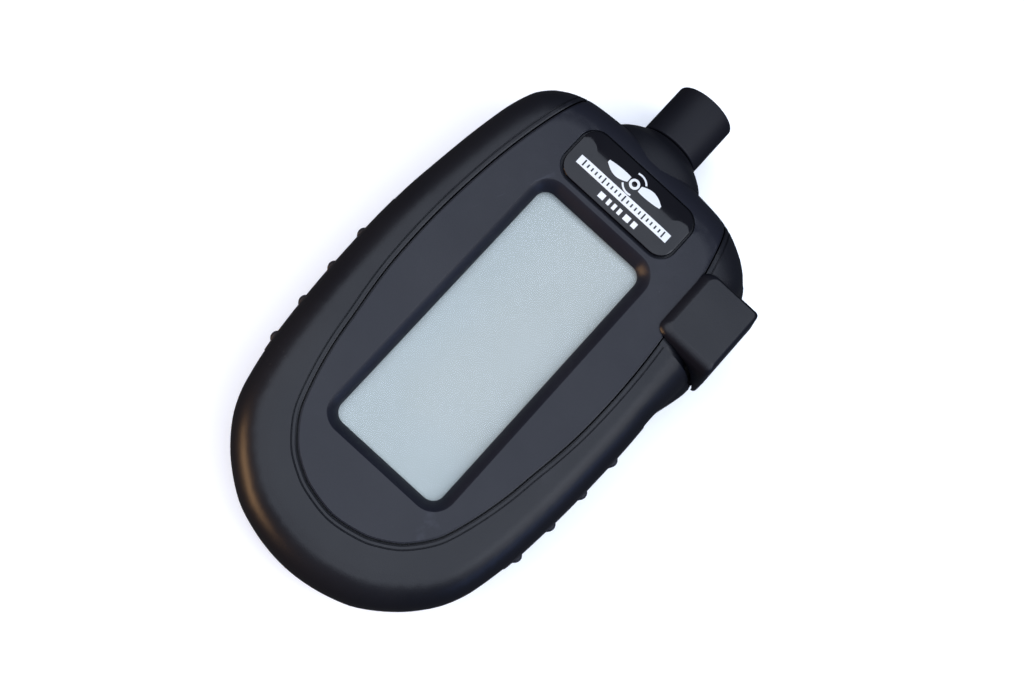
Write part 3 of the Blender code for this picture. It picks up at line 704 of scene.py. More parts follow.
def shade_drift():
    """A colour that drifts a little lighter and darker over the surface."""
    group, given, give = effect(
        "shade_drift",
        (
            ("Vector", VECTOR, None), ("Shade", COLOUR, (0.1, 0.1, 0.1, 1)),
            ("Drift", FLOAT, 0.15), ("Scale", FLOAT, 90.0),
        ),
        (("Shade", COLOUR),),
    )
    noise = node(group, "ShaderNodeTexNoise", {"Vector": given["Vector"], "Scale": given["Scale"]})
    noise.inputs["Detail"].default_value = 3.0
    centred = maths(group, "SUBTRACT", noise.outputs[0], 0.5)
    value = maths(group, "MULTIPLY_ADD", centred, given["Drift"], 1.0)
    shifted = node(group, "ShaderNodeHueSaturation", {"Value": value, "Color": given["Shade"]})
    give("Shade", shifted.outputs[0])
    return group


@lru_cache(maxsize=None)
def effects():
    return {"grain": moulded_grain(), "wear": edge_wear(), "dust": fine_dust(), "drift": shade_drift()}


class Finish:
    """One material under construction: its tree, its shader, and the shared effects placed in it."""

    def __init__(self, name, roughness=0.5, metallic=0.0, specular=0.5, **plain):
        self.material = bpy.data.materials.new(name)
        self.material.use_nodes = True
        self.tree = self.material.node_tree
        self.shader = self.tree.nodes["Principled BSDF"]
        self.place = node(self.tree, "ShaderNodeTexCoord").outputs["Object"]
        self.surface = node(self.tree, "ShaderNodeNewGeometry").outputs
        self.set("Roughness", roughness)
        self.set("Metallic", metallic)
        self.set("Specular IOR Level", specular)
        for title, value in plain.items():
            self.set(title.replace("_", " "), value)

    def set(self, title, value):
        if isinstance(value, bpy.types.NodeSocket):
            self.tree.links.new(value, self.shader.inputs[title])
        else:
            self.shader.inputs[title].default_value = value

    def use(self, key, **values):
        group = self.tree.nodes.new("ShaderNodeGroup")
        group.node_tree = effects()[key]
        self.tree.links.new(self.place, group.inputs["Vector"])
        for title, value in values.items():
            if isinstance(value, bpy.types.NodeSocket):
                self.tree.links.new(value, group.inputs[title])
            else:
                group.inputs[title].default_value = value
        return group.outputs

    def bump(self, height, depth, strength=1.0):
        """Height times depth, in metres, as a bump."""
        made = node(self.tree, "ShaderNodeBump", {"Height": height, "Distance": depth, "Strength": strength})
        self.set("Normal", made.outputs[0])

    def noise(self, scale, detail=2.0, output=0):
        made = node(self.tree, "ShaderNodeTexNoise", {"Vector": self.place, "Scale": scale, "Detail": detail})
        return made.outputs[output]

    def axis(self, index):
        return node(self.tree, "ShaderNodeSeparateXYZ", {0: self.place}).outputs[index]


def moulded(name, shade, roughness, specular, grain=3200.0, depth=0.000012, wear=0.35, dust=0.1, paler=2.6):
    """Moulded plastic or rubber with grain, rubbed edges and a trace of dust."""
    look = Finish(name, roughness, specular=specular)
    tree = look.tree
    grain_out = look.use("grain", Grain=grain)
    drift = look.use("drift", Shade=opaque(shade))
    worn = look.use("wear", Curvature=look.surface["Pointiness"], Amount=wear)
    dusty = look.use("dust", Normal=look.surface["Normal"], Amount=dust)
    rubbed = opaque(tuple(min(1.0, channel * paler + 0.01) for channel in shade))
    base = mixed(tree, worn["Mask"], drift["Shade"], rubbed)
    look.set("Base Color", mixed(tree, dusty["Mask"], base, (0.32, 0.31, 0.3, 1)))
    varied = maths(tree, "ADD", grain_out["Roughness"], roughness)
    smoother = maths(tree, "MULTIPLY_ADD", worn["Mask"], -0.12, varied)
    look.set("Roughness", maths(tree, "MULTIPLY_ADD", dusty["Mask"], 0.4, smoother, clamp=True))
    look.bump(grain_out["Height"], depth)
    return look.material


def metal(name, shade, roughness, brushed=900.0, tarnish=0.25):
    """Drawn or plated metal: fine scratches along y and patches of tarnish."""
    look = Finish(name, roughness, metallic=1.0)
    tree = look.tree
    stretched = node(tree, "ShaderNodeMapping", {"Vector": look.place, "Scale": (1.0, 0.08, 1.0)}).outputs[0]
    scratched = node(tree, "ShaderNodeTexNoise", {"Vector": stretched, "Scale": brushed * 4, "Detail": 3.0})
    lines = scratched.outputs[0]
    patches = ramp(tree, look.noise(420.0, 3.0), 0.45, 0.75)
    drift = look.use("drift", Shade=opaque(shade), Drift=0.3, Scale=260.0)
    darker = opaque(tuple(channel * 0.55 for channel in shade))
    share = maths(tree, "MULTIPLY", patches, tarnish)
    look.set("Base Color", mixed(tree, share, drift["Shade"], darker))
    rough = ramp(tree, lines, 0.2, 0.8, roughness - 0.08, roughness + 0.12)
    look.set("Roughness", maths(tree, "MULTIPLY_ADD", share, 0.5, rough))
    look.bump(lines, 0.000006)
    return look.material


def case_finish(settings):
    return bpy.data.materials.get("moulded_case") or moulded(
        "moulded_case", settings.case.shade, settings.case.roughness, 0.2
    )


# ---------------------------------------------------------------- case surfaces


def case_ring(inset, z, swell_share, count):
    """One level of the case: the outline drawn in by inset, with part of the swelling by the button."""
    ring = []
    for x, y in case_outline(inset, count):
        ring.append((x + swell_share * swell_at(y) if x > 0 else x, y, z))
    return ring


def front_body(name, depth, bottom_z, top_z=None, count=FINE, steps=ARC_STEPS, eased=False):
    """The front half's outer surface moved inwards by depth, as a solid that stands on bottom_z."""
    top_z = THICKNESS - depth if top_z is None else top_z
    rings = [case_ring(depth, bottom_z, 1.0, count)]
    if eased:  # the edge at the parting line is broken
        rings = [case_ring(depth + 0.3, z, 1.0, count) for z in (bottom_z, PARTING_Z + GAP / 2)]
        rings.append(case_ring(depth, PARTING_Z + GAP / 2 + 0.35, 0.98, count))
    rings += [case_ring(depth, z, share, count) for z, share in SWELL_SHARES]
    rise = top_z - (THICKNESS - SHOULDER_Z) - FRONT_ROUND_Z
    for i in range(steps + 1):
        turn = math.pi / 2 * i / steps
        inset = FRONT_ROUND_IN - (FRONT_ROUND_IN - depth) * math.cos(turn)
        rings.append(case_ring(inset, FRONT_ROUND_Z + rise * math.sin(turn), 0.5 * (1 - i / steps), count))
    rings.append(case_ring(FACE_INSET, top_z, 0.0, count))
    return loft(name, rings)


def rear_body(name, depth, top_z, count=FINE, steps=ARC_STEPS, eased=False):
    """The rear half's outer surface moved inwards by depth, as a solid that ends at top_z."""
    rings = []
    for i in range(steps + 1):
        turn = math.pi / 2 * i / steps
        inset = BACK_ROUND_IN - (BACK_ROUND_IN - depth) * math.sin(turn)
        z = BACK_ROUND_Z - (BACK_ROUND_Z - depth) * math.cos(turn)
        rings.append(case_ring(inset, z, 0.8 * i / steps, count))
    if eased:
        rings.append(case_ring(depth, PARTING_Z - GAP / 2 - 0.35, 0.98, count))
        rings += [case_ring(depth + 0.3, z, 1.0, count) for z in (PARTING_Z - GAP / 2, top_z)]
    else:
        rings.append(case_ring(depth, top_z, 1.0, count))
    return loft(name, rings)


def collar(name, grow=0.0):
    """The flared collar on the sensor end, drawn out by grow."""
    start, end = COLLAR[0][0], COLLAR[-1][0] + grow
    shape = smooth_through([(y, radius + grow) for y, radius in COLLAR], 4)
    profile = [(start, 0), *[tuple(point) for point in shape[:-1]], (end, shape[-1][1] - 0.15), (end, 0)]
    return turned(name, profile, (0, 0, PARTING_Z), (0, 1, 0))


def add_collar(shell):
    """Adds the collar, and the sleeve that grips the hood's flange inside the case."""
    sleeve = cylinder("sleeve", (0, 40.2, PARTING_Z), (0, 1, 0), 8.5, 3.2)
    return join(shell, collar("collar"), sleeve)


def sensor_bore():
    """The stepped hole through the collar for the hood's spigot and flange."""
    radius = SPIGOT_RADIUS + GAP
    groove = FLANGE_RADIUS + GAP
    start, end = FLANGE_Y[0] - GAP, FLANGE_Y[1] + GAP
    profile = [(38, 0), (38, radius), (start, radius), (start, groove), (end, groove)]
    profile += [(end, radius), (52, radius), (52, 0)]
    return turned("sensor_bore", profile, (0, 0, PARTING_Z), (0, 1, 0))


def grip_pockets():
    """What a shell loses where the side grips are let in."""
    pockets = []
    for side in (-1, 1):
        x = sorted((side * 20.0, side * 40.0))
        y = (GRIP_Y[0] - GAP, GRIP_Y[1] + GAP)
        pocket = box("pocket", x, y, (GRIP_Z[0] - GAP, GRIP_Z[1] + GAP))
        pockets.append(cut(pocket, prism("core", case_outline(GRIP_DEPTH + GAP), 0, THICKNESS)))
    return grouped(*pockets)


def dropped(points, surface, lift):
    """(x, y) points set lift above a surface below them."""
    tree = BVHTree.FromObject(surface, bpy.context.evaluated_depsgraph_get())
    found = []
    for x, y in points:
        hit = tree.ray_cast(Vector((x, y, 60)), Vector((0, 0, -1)))[0]
        if hit:
            found.append((x, y, hit.z + lift))
    return found


def panel_line(name, surface, grow, radius, depth):
    """A rod that follows the panel's outline, drawn out by grow, to engrave a line depth deep."""
    outline = [point for point in panel_outline(grow) if point[1] < LINE_END_Y]
    path = dropped(outline, surface, radius - depth)
    return tube_along(name, evenly_spaced(open_ended(path), 260), radius)


def open_ended(path):
    """The rod's path, opened between the legs of the U instead of at its base."""
    gap_at = max(range(len(path) - 1), key=lambda i: math.dist(path[i][:2], path[i + 1][:2]))
    return path[gap_at + 1 :] + path[: gap_at + 1]


# ---------------------------------------------------------------- operators for the case


class CaseFront(bpy.types.Operator):
    """Front half of the case with its panel recess, collar and button well"""

    bl_idname = "tachometer.case_front"
    bl_label = "Case front"

    def execute(self, context):
        settings = context.scene.tachometer
        shell = front_body("case_front", 0.0, PARTING_Z - 1, eased=True)
        cavity = front_body("cavity", WALL, PARTING_Z - 2, THICKNESS - FACE_WALL, COARSE, 4)
        end = box("end_wall", (-40, 40), (END_WALL_Y, 60), (0, 30))
        well_block = box("well_block", (24.3, 45), (15.5, 37), (1, 29))
        cut(shell, cut(cavity, grouped(end, well_block)))

        engrave_round_panel(shell, settings, both=True)
        recess = prism("recess", panel_outline(GAP), PANEL_LOW_Z, 32)
        cut(shell, cut(recess, front_body("floor", PANEL_THICKNESS + GAP, 5)))
        opening = rounded_rectangle(GLASS_SIZE[0] + 2 * GAP, GLASS_SIZE[1] + 2 * GAP, 2.0, WINDOW_Y)
        cut(shell, prism("glass_opening", opening, 19, 24))

        add_collar(shell)
        cut(shell, box("rear_side", (-50, 50), (-80, 80), (-30, PARTING_Z + GAP / 2)))
        cut(shell, sensor_bore())

        well = box("well", (WELL_X, 45), (CAP_Y[0] - GAP, CAP_Y[1] + GAP), (CAP_Z[0] - GAP, 32))
        kept = front_body("kept", 0.0, 5, count=120)
        kept.data.transform(Matrix.Translation((-CAP_TRAVEL - GAP, 0, -GAP)))
        cut(shell, cut(well, kept))
        slot_y = (STEM_Y - STEM_HALF - 0.4, STEM_Y + STEM_HALF + 0.4)
        cut(shell, box("stem_slot", (22, 40), slot_y, (STEM_Z - STEM_HALF - 0.4, STEM_Z + STEM_HALF + 0.4)))

        posts = [cylinder("post", (x, y, 5.3), (0, 0, 1), 2.5, 16.8) for x, y in POST_PLACES]
        pilots = [cylinder("pilot", (x, y, 4), (0, 0, 1), 1.5, 11.5, 24) for x, y in POST_PLACES]
        posts += [cylinder("post", (x, y, 16.3), (0, 0, 1), 1.8, 5.5) for x, y in BOARD_POSTS]
        pilots += [cylinder("pilot", (x, y, 15), (0, 0, 1), 1.2, 5, 24) for x, y in BOARD_POSTS]
        join(shell, grouped(*posts))
        cut(shell, grouped(*pilots), grip_pockets())
        settle(shell, "case", case_finish(settings), "case_plastic", "front_shell")
        return {"FINISHED"}


def engrave_round_panel(piece, settings, both):
    """The soft gap round the panel and, where both are wanted, the shallow line outside it."""
    surface = front_body("surface", 0.0, 5)
    lip = settings.case.lip / MM / 2 + GAP / 2
    tools = [panel_line("gap_line", surface, GAP / 2, lip, LIP_DEPTH)]
    if both:
        radius = settings.case.line_cutter / MM / 2
        offset = GAP + settings.case.line_offset / MM
        tools.append(panel_line("outer_line", surface, offset, radius, LINE_DEPTH))
    bpy.data.objects.remove(surface)
    cut(piece, *tools)


class FacePanel(bpy.types.Operator):
    """U-shaped face panel with the display opening and the label's pocket"""

    bl_idname = "tachometer.face_panel"
    bl_label = "Face panel"

    def execute(self, context):
        settings = context.scene.tachometer
        panel = front_body("face_panel", 0.0, 5)
        combine(panel, prism("area", panel_outline(0.0), PANEL_LOW_Z + GAP, 32), "INTERSECT")
        cut(panel, front_body("underside", PANEL_THICKNESS, 2))
        cut(panel, collar("collar_clearance", GAP))
        engrave_round_panel(panel, settings, both=False)

        reach = settings.panel.window_rounding / MM
        low_z = THICKNESS - PANEL_THICKNESS
        rings = []
        for grow, z in ((-0.01, low_z - 0.6), *window_profile(reach, low_z), (reach + 0.3, THICKNESS + 0.6)):
            width, height = (side + 2 * grow for side in WINDOW_SIZE)
            outline = rounded_rectangle(width, height, WINDOW_CORNER + grow, WINDOW_Y)
            rings.append([(x, y, z) for x, y in outline])
        cut(panel, loft("window_cut", rings))

        rings = []
        for grow, z in ((0.42, 23.8), (0.42, 24.7), (0.5, 24.9), (0.7, 25.01), (0.7, 26)):
            width, height = (side + 2 * grow for side in LABEL_SIZE)
            outline = rounded_rectangle(width, height, LABEL_CORNER + grow, LABEL_Y)
            rings.append([(x, y, z) for x, y in outline])
        cut(panel, loft("label_pocket", rings))
        finish = moulded("moulded_panel", settings.panel.shade, settings.panel.roughness, 0.2)
        settle(panel, "case", finish, "panel_plastic", "face_plate")
        return {"FINISHED"}


def window_profile(reach, low_z):
    """(grow, z) round the display opening's soft edge, from the glass up to the face."""
    points = []
    for i in range(11):
        turn = math.pi / 2 * i / 10
        rise = math.sin(turn)
        points.append((reach * soft_chamfer(rise), low_z + (THICKNESS + 0.02 - low_z) * rise))
    return points


class CaseRear(bpy.types.Operator):
    """Rear half of the case with the battery bay, the door's opening and the screw seats"""

    bl_idname = "tachometer.case_rear"
    bl_label = "Case rear"

    def execute(self, context):
        shell = rear_body("case_rear", 0.0, PARTING_Z + 1, eased=True)
        cavity = rear_body("cavity", WALL, PARTING_Z + 2, COARSE, 4)
        cut(shell, cut(cavity, box("end_wall", (-40, 40), (END_WALL_Y, 60), (-5, 30))))
        add_collar(shell)
        cut(shell, box("front_side", (-50, 50), (-80, 80), (PARTING_Z - GAP / 2, 50)))
        cut(shell, sensor_bore())

        outer = BAY_HALF_WIDTH + 1.2
        bay_y = (BAY_Y[0] - 1.2, BAY_Y[1] + 1.2)
        join(shell, box("bay", (-outer, outer), bay_y, (1.0, BAY_TOP + 1.1)))
        ledge = DOOR_HALF_WIDTH + GAP + 2
        join(shell, box("ledge", (-ledge, ledge), (DOOR_Y[0] - GAP - 2, bay_y[1] - 0.5), (1.0, 3.8)))
        cut(shell, box("bay_hollow", (-BAY_HALF_WIDTH, BAY_HALF_WIDTH), BAY_Y, (-2, BAY_TOP)))
        door_y = (DOOR_Y[0] - GAP, DOOR_Y[1] + GAP)
        cut(shell, flared_box("door_opening", DOOR_HALF_WIDTH + GAP, door_y, DOOR_Z[1] + GAP, 0.3, 0.3))
        scoop = [(0, 0), *quarter_round((0.8, 4.2), 0.8, 180, 90)]
        scoop += [*quarter_round((11.2, 4.2), 0.8, 90, 0), (12, 0)]
        cut(shell, turned("finger_scoop", scoop, (-6, DOOR_Y[0] - 1.8, -3.8), (1, 0, 0)))
        slots = [box("tail_slot", (x - 1.3, x + 1.3), (9, 12), (11.1, 12.2)) for x in (-CELL_X, CELL_X)]
        cut(shell, grouped(*slots))

        seats = [cylinder("seat", (x, y, 1.0), (0, 0, 1), 4.0, 4.0, 48) for x, y in POST_PLACES]
        join(shell, grouped(*seats))
        hole = [(-1, 0), (-1, 3.6), (0, 3.2), (0.3, 2.9), (3, 2.9), (3, 1.6), (6.5, 1.6), (6.5, 0)]
        holes = [turned("hole", hole, (x, y, 0), (0, 0, 1), 48) for x, y in POST_PLACES]
        cut(shell, grouped(*holes), grip_pockets())
        settle(shell, "case", case_finish(context.scene.tachometer), "case_plastic", "rear_shell")
        return {"FINISHED"}


# ---------------------------------------------------------------- operators for the display and label


class DisplayWindow(bpy.types.Operator):
    """Clear window with polished edges, and the finish of the blank display under it, with painted shade at its
    sensor end
    """

    bl_idname = "tachometer.display_window"
    bl_label = "Display window"

    def execute(self, context):
        settings = context.scene.tachometer.glass
        low, high = (corner.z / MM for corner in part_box("display_window"))
        window = prism("window_glass", rounded_rectangle(*GLASS_SIZE, 1.8, WINDOW_Y), low, high)
        soft_edges(window, 0.12, 2)
        look = Finish("clear_window", 0.07, specular=0.5)
        smears = ramp(look.tree, look.noise(70.0, 3.0), 0.35, 0.75, 0.05, 0.12)
        look.set("Roughness", smears)
        drift = look.use("drift", Shade=opaque(settings.tint), Drift=0.1)
        look.set("Base Color", drift["Shade"])
        look.set("Alpha", ramp(look.tree, look.noise(130.0), 0.2, 0.8, 0.1, 0.13))
        settle(window, "case", look.material, "clear_lens", "display_window")

        display = Finish("blank_display", 0.38, specular=0.4)
        drift = display.use("drift", Shade=opaque(settings.shade), Drift=0.05, Scale=45.0)
        # painted shade: the display's colour is 5% paler towards the base and darker towards the sensor end,
        # where the window's frame would shade it
        along = ramp(display.tree, display.axis(1), -0.035, 0.025)
        paler = opaque(tuple(min(1, channel * 1.05) for channel in settings.shade))
        display.set("Base Color", mixed(display.tree, along, paler, drift["Shade"]))
        film = display.use("grain", Grain=9000.0, Spread=0.08)
        display.set("Roughness", maths(display.tree, "ADD", film["Roughness"], 0.38))
        display.bump(film["Height"], 0.000003)
        dress("lcd_panel", display.material)
        return {"FINISHED"}


def dress(name, material):
    """Gives a carried-over node its material."""
    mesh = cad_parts[name].data
    if not mesh.materials:
        mesh.materials.append(material)
    for index in range(len(mesh.materials)):
        mesh.materials[index] = material


def dome_levels(crown):
    """(inset, z) up the label from its foot to the middle of its dome."""
    top = 25.1
    levels = [(0.0, LABEL_LOW_Z), (0.0, top - 0.12)]
    levels += [(0.25 - 0.25 * math.cos(t), top - 0.12 + 0.2 * math.sin(t)) for t in (0.4, 0.8, 1.2)]
    reach = LABEL_SIZE[1] / 2
    for i in range(1, 15):
        inset = 0.25 + (reach - 0.35) * i / 14
        share = 1 - (1 - inset / reach) ** 2
        levels.append((inset, top + 0.08 + crown * share))
    return levels


class Label(bpy.types.Operator):
    """Domed gloss label with a printed propeller sign and scale"""

    bl_idname = "tachometer.label"
    bl_label = "Label"

    def execute(self, context):
        settings = context.scene.tachometer.label
        rings = []
        for inset, z in dome_levels(settings.crown / MM):
            width, height = (side - 2 * inset for side in LABEL_SIZE)
            corner = max(LABEL_CORNER - inset, 0.08)
            rings.append([(x, y, z) for x, y in rounded_rectangle(width, height, corner, LABEL_Y, 8)])
        dome = loft("label_dome", rings)

        strips = printed_strips()
        surface = BVHTree.FromObject(dome, context.evaluated_depsgraph_get())
        sign = printed("label_print", strips, surface, 0.035)

        gloss = Finish("label_gloss", 0.1, specular=0.12)
        drift = gloss.use("drift", Shade=(0.002, 0.002, 0.004, 1), Drift=0.3)
        dusty = gloss.use("dust", Normal=gloss.surface["Normal"], Amount=0.12)
        gloss.set("Base Color", mixed(gloss.tree, dusty["Mask"], drift["Shade"], (0.3, 0.3, 0.3, 1)))
        rough = ramp(gloss.tree, gloss.noise(240.0, 3.0), 0.3, 0.8, 0.07, 0.15)
        gloss.set("Roughness", maths(gloss.tree, "MULTIPLY_ADD", dusty["Mask"], 0.4, rough))
        gloss.set("Coat Weight", ramp(gloss.tree, gloss.noise(160.0), 0.2, 0.9, 0.14, 0.2))
        gloss.bump(gloss.noise(350.0), 0.000006)
        ticks = tick_marks(dome, settings, gloss.material)
        settle(dome, "case", gloss.material, "label_gloss", "name_label")

        ink = Finish("label_ink", 0.4)
        drift = ink.use("drift", Shade=opaque(settings.print_shade), Drift=0.12, Scale=700.0)
        grain = ink.use("grain", Grain=5200.0)
        ink.set("Base Color", drift["Shade"])
        ink.set("Roughness", maths(ink.tree, "ADD", grain["Roughness"], 0.4))
        ink.bump(grain["Height"], 0.000004)
        settle(sign, "case", ink.material, "frame_plastic")
        settle(ticks, "case", gloss.material, "label_gloss")
        return {"FINISHED"}


def printed_strips():
    """The print as strips, each a pair of facing edges of (x, y) points."""
    strips = []
    base, top = LABEL_Y - 2.4, LABEL_Y - 0.6
    across = [-10.9 + 21.8 * i / 24 for i in range(25)]
    strips.append(([(x, base) for x in across], [(x, top) for x in across]))
    for x, width in ((-3.9, 1.3), (-1.9, 0.7), (-0.6, 0.7), (0.7, 0.7), (2.2, 1.3), (4.1, 1.0)):
        edge = [x, x + width / 2, x + width]
        strips.append(([(e, LABEL_Y - 4.4) for e in edge], [(e, LABEL_Y - 3.25) for e in edge]))

    hub = (-0.3, LABEL_Y + 1.9)
    for side in (-1, 1):
        root, tip = 1.3, 6.3
        upper, lower = [], []
        for i in range(13):
            share = i / 12
            along = root + (tip - root) * share
            chord = 0.45 + 1.15 * math.sin(math.pi * min(share * 0.9 + 0.12, 1.0)) ** 0.8
            sweep = side * 0.35 * math.sin(math.pi * share)
            upper.append((hub[0] + side * along, hub[1] + chord * 0.62 + sweep))
            lower.append((hub[0] + side * along, hub[1] - chord * 0.62 + sweep))
        strips.append((lower, upper) if side > 0 else (upper, lower))
    strips.append(arc_strip(hub, 0.55, 1.05, 0, 360, 32))
    for start in (35, 215):
        strips.append(arc_strip(hub, 2.05, 2.4, start, start + 75, 14))
    return strips


def arc_strip(centre, inner, outer, start, end, steps):
    turns = [math.radians(start + (end - start) * i / steps) for i in range(steps + 1)]
    rims = []
    for radius in (inner, outer):
        rims.append([(centre[0] + radius * math.cos(t), centre[1] + radius * math.sin(t)) for t in turns])
    return rims[1], rims[0]


def printed(name, strips, surface, lift):
    """Thin closed strips laid on a surface."""
    down = Vector((0, 0, -1))

    def height(x, y):
        hit = surface.ray_cast(Vector((x, y, 60)), down)[0]
        if hit is None:
            raise RuntimeError(f"the print runs off its label at {x:.1f}, {y:.1f}")
        return hit.z

    def fill(bm):
        for first, second in strips:
            closed = math.dist(first[0], first[-1]) < 1e-6
            rows = []
            for a, b in zip(first, second):
                rows.append([])
                for k in range(5):
                    x, y = (p + (q - p) * k / 4 for p, q in zip(a, b))
                    z = height(x, y)
                    rows[-1].append((bm.verts.new((x, y, z - 0.03)), bm.verts.new((x, y, z + lift))))
            pairs = list(zip(rows, rows[1:]))
            if closed:
                pairs = [*zip(rows[:-1], rows[1:-1]), (rows[-2], rows[0])]
                for low, high in rows.pop():
                    bm.verts.remove(low)
                    bm.verts.remove(high)
            for one, two in pairs:
                for k in range(4):
                    for level in (0, 1):
                        bm.faces.new((one[k][level], two[k][level], two[k + 1][level], one[k + 1][level]))
                for k in (0, 4):
                    bm.faces.new((one[k][0], two[k][0], two[k][1], one[k][1]))
            if not closed:
                for row in (rows[0], rows[-1]):
                    for k in range(4):
                        bm.faces.new((row[k][0], row[k + 1][0], row[k + 1][1], row[k][1]))

    return solid(name, fill)


# ---------------------------------------------------------------- repeated details


def grown(name, start, build, values):
    """Runs a Geometry Nodes tree on start, with its named inputs set, and leaves a plain mesh."""
    tree = bpy.data.node_groups.new(name, "GeometryNodeTree")
    socket(tree, "Geometry", "NodeSocketGeometry")
    socket(tree, "Geometry", "NodeSocketGeometry", output=True)
    inputs = {}
    for title, (kind, value) in values.items():
        inputs[socket(tree, title, kind).identifier] = value
    given = tree.nodes.new("NodeGroupInput").outputs
    result = build(tree, given)
    node(tree, "NodeGroupOutput", {0: node(tree, "GeometryNodeRealizeInstances", {0: result}).outputs[0]})
    modifier = start.modifiers.new(name, "NODES")
    modifier.node_group = tree
    for identifier, value in inputs.items():
        modifier[identifier] = value
    return applied(start)


NUMBER, COUNT, PLACE = "NodeSocketFloat", "NodeSocketInt", "NodeSocketVector"
OBJECT, MATERIAL = "NodeSocketObject", "NodeSocketMaterial"


def rounded_rod(tree, run, radius, sides=24):
    """A rod along z from 0 to run with rounded ends."""
    end = node(tree, "ShaderNodeCombineXYZ", {2: run}).outputs[0]
    line = node(tree, "GeometryNodeCurvePrimitiveLine", {"End": end}).outputs[0]
    line = node(tree, "GeometryNodeResampleCurve", {"Curve": line, "Count": 33}).outputs[0]
    share = node(tree, "GeometryNodeSplineParameter").outputs["Factor"]
    off_middle = maths(tree, "ABSOLUTE", maths(tree, "MULTIPLY_ADD", share, 2.0, -1.0))
    into_end = ramp_linear(tree, off_middle, 0.78, 1.0)
    fallen = maths(tree, "MULTIPLY", into_end, maths(tree, "MULTIPLY", into_end, 0.86))
    size = maths(tree, "SQRT", maths(tree, "SUBTRACT", 1.0, fallen))
    ring = node(tree, "GeometryNodeCurvePrimitiveCircle", {"Resolution": sides, "Radius": radius}).outputs[0]
    shape = {"Curve": line, "Profile Curve": ring, "Scale": size, "Fill Caps": True}
    return node(tree, "GeometryNodeCurveToMesh", shape).outputs[0]


def ramp_linear(tree, value, low, high):
    return node(tree, "ShaderNodeMapRange", {0: value, 1: low, 2: high}).outputs[0]


def row_of_points(tree, given):
    """Points in a row, from First on, Pitch apart."""
    made = node(tree, "GeometryNodeMeshLine", {"Count": given["Count"], "Start Location": given["First"]})
    tree.links.new(given["Pitch"], made.inputs["Offset"])
    return made.outputs[0]


def cast_onto(tree, points, target, direction, lift):
    """The points moved along direction until they meet target, then lift further."""
    aimed = {"Target Geometry": target, "Ray Direction": direction, "Ray Length": 100.0}
    ray = node(tree, "GeometryNodeRaycast", aimed)
    step = node(tree, "ShaderNodeVectorMath", {0: direction}, operation="SCALE")
    tree.links.new(lift, step.inputs["Scale"])
    ends = {0: ray.outputs["Hit Position"], 1: step.outputs[0]}
    place = node(tree, "ShaderNodeVectorMath", ends, operation="ADD")
    return node(tree, "GeometryNodeSetPosition", {"Geometry": points, "Position": place.outputs[0]}).outputs[0]


def repeated(tree, points, instance, **more):
    """instance on every point, as real geometry."""
    inputs = {"Points": points, "Instance": instance, **more}
    made = node(tree, "GeometryNodeInstanceOnPoints", inputs).outputs[0]
    return node(tree, "GeometryNodeRealizeInstances", {0: made}).outputs[0]


def with_start(tree, given, added):
    """What was added, together with the piece that the tree started from."""
    both = node(tree, "GeometryNodeJoinGeometry", {0: added})
    tree.links.new(given["Geometry"], both.inputs[0])
    return both.outputs[0]


def in_material(tree, given, geometry):
    inputs = {"Geometry": geometry, "Material": given["Material"]}
    return node(tree, "GeometryNodeSetMaterial", inputs).outputs[0]


def rib_tree(tree, given):
    """Ribs in a row, set against the strip's outer side, with the strip itself."""
    row = row_of_points(tree, given)
    points = cast_onto(tree, row, given["Geometry"], given["Inwards"], given["Sunk"])
    ribs = repeated(tree, points, rounded_rod(tree, given["Run"], given["Radius"]))
    return in_material(tree, given, with_start(tree, given, ribs))


class Grips(bpy.types.Operator):
    """Rubber side grips with their ribs"""

    bl_idname = "tachometer.grips"
    bl_label = "Grips"

    def execute(self, context):
        settings = context.scene.tachometer.grip
        rubber = moulded(
            "grip_rubber", settings.shade, 0.62, 0.3, grain=2400.0, depth=0.00002, wear=0.2, dust=0.16
        )
        for name, side, replaced in (("grip_right", 1, "side_grip_right"), ("grip_left", -1, "side_grip_left")):
            rings = []
            for inset, z in grip_section():
                rings.append([(x, y, z) for x, y in case_outline(inset)])
            strip = loft(name, rings)
            x = sorted((side * 20.0, side * 40.0))
            combine(strip, box("span", x, GRIP_Y, (0, 30)), "INTERSECT")
            cut(strip, prism("inside", case_outline(GRIP_DEPTH), 0, 30))
            values = {
                "Count": (COUNT, settings.ribs),
                "First": (PLACE, (side * 45.0, settings.first / MM, GRIP_Z[0] + 0.8)),
                "Pitch": (PLACE, (0.0, -settings.pitch / MM, 0.0)),
                "Inwards": (PLACE, (-float(side), 0.0, 0.0)),
                "Sunk": (NUMBER, (settings.radius - settings.proud) / MM),
                "Run": (NUMBER, GRIP_Z[1] - GRIP_Z[0] - 1.6),
                "Radius": (NUMBER, settings.radius / MM),
                "Material": (MATERIAL, rubber),
            }
            grown("ribs_" + name, strip, rib_tree, values)
            settle(strip, "case", rubber, "grip_rubber", replaced, sharp=40)
        return {"FINISHED"}


def grip_section():
    """(inset, z) up the outer side of a grip, with its long edges rounded."""
    low, high, proud = *GRIP_Z, 0.25
    section = [(0.15, low)]
    turns = (0.5, 1.0, math.pi / 2)
    section += [(0.15 - (proud + 0.15) * math.sin(t), low + 0.4 - 0.4 * math.cos(t)) for t in turns]
    section += [(0.15 - (proud + 0.15) * math.sin(t), high - 0.4 + 0.4 * math.cos(t)) for t in turns[::-1]]
    return [*section, (0.15, high)]


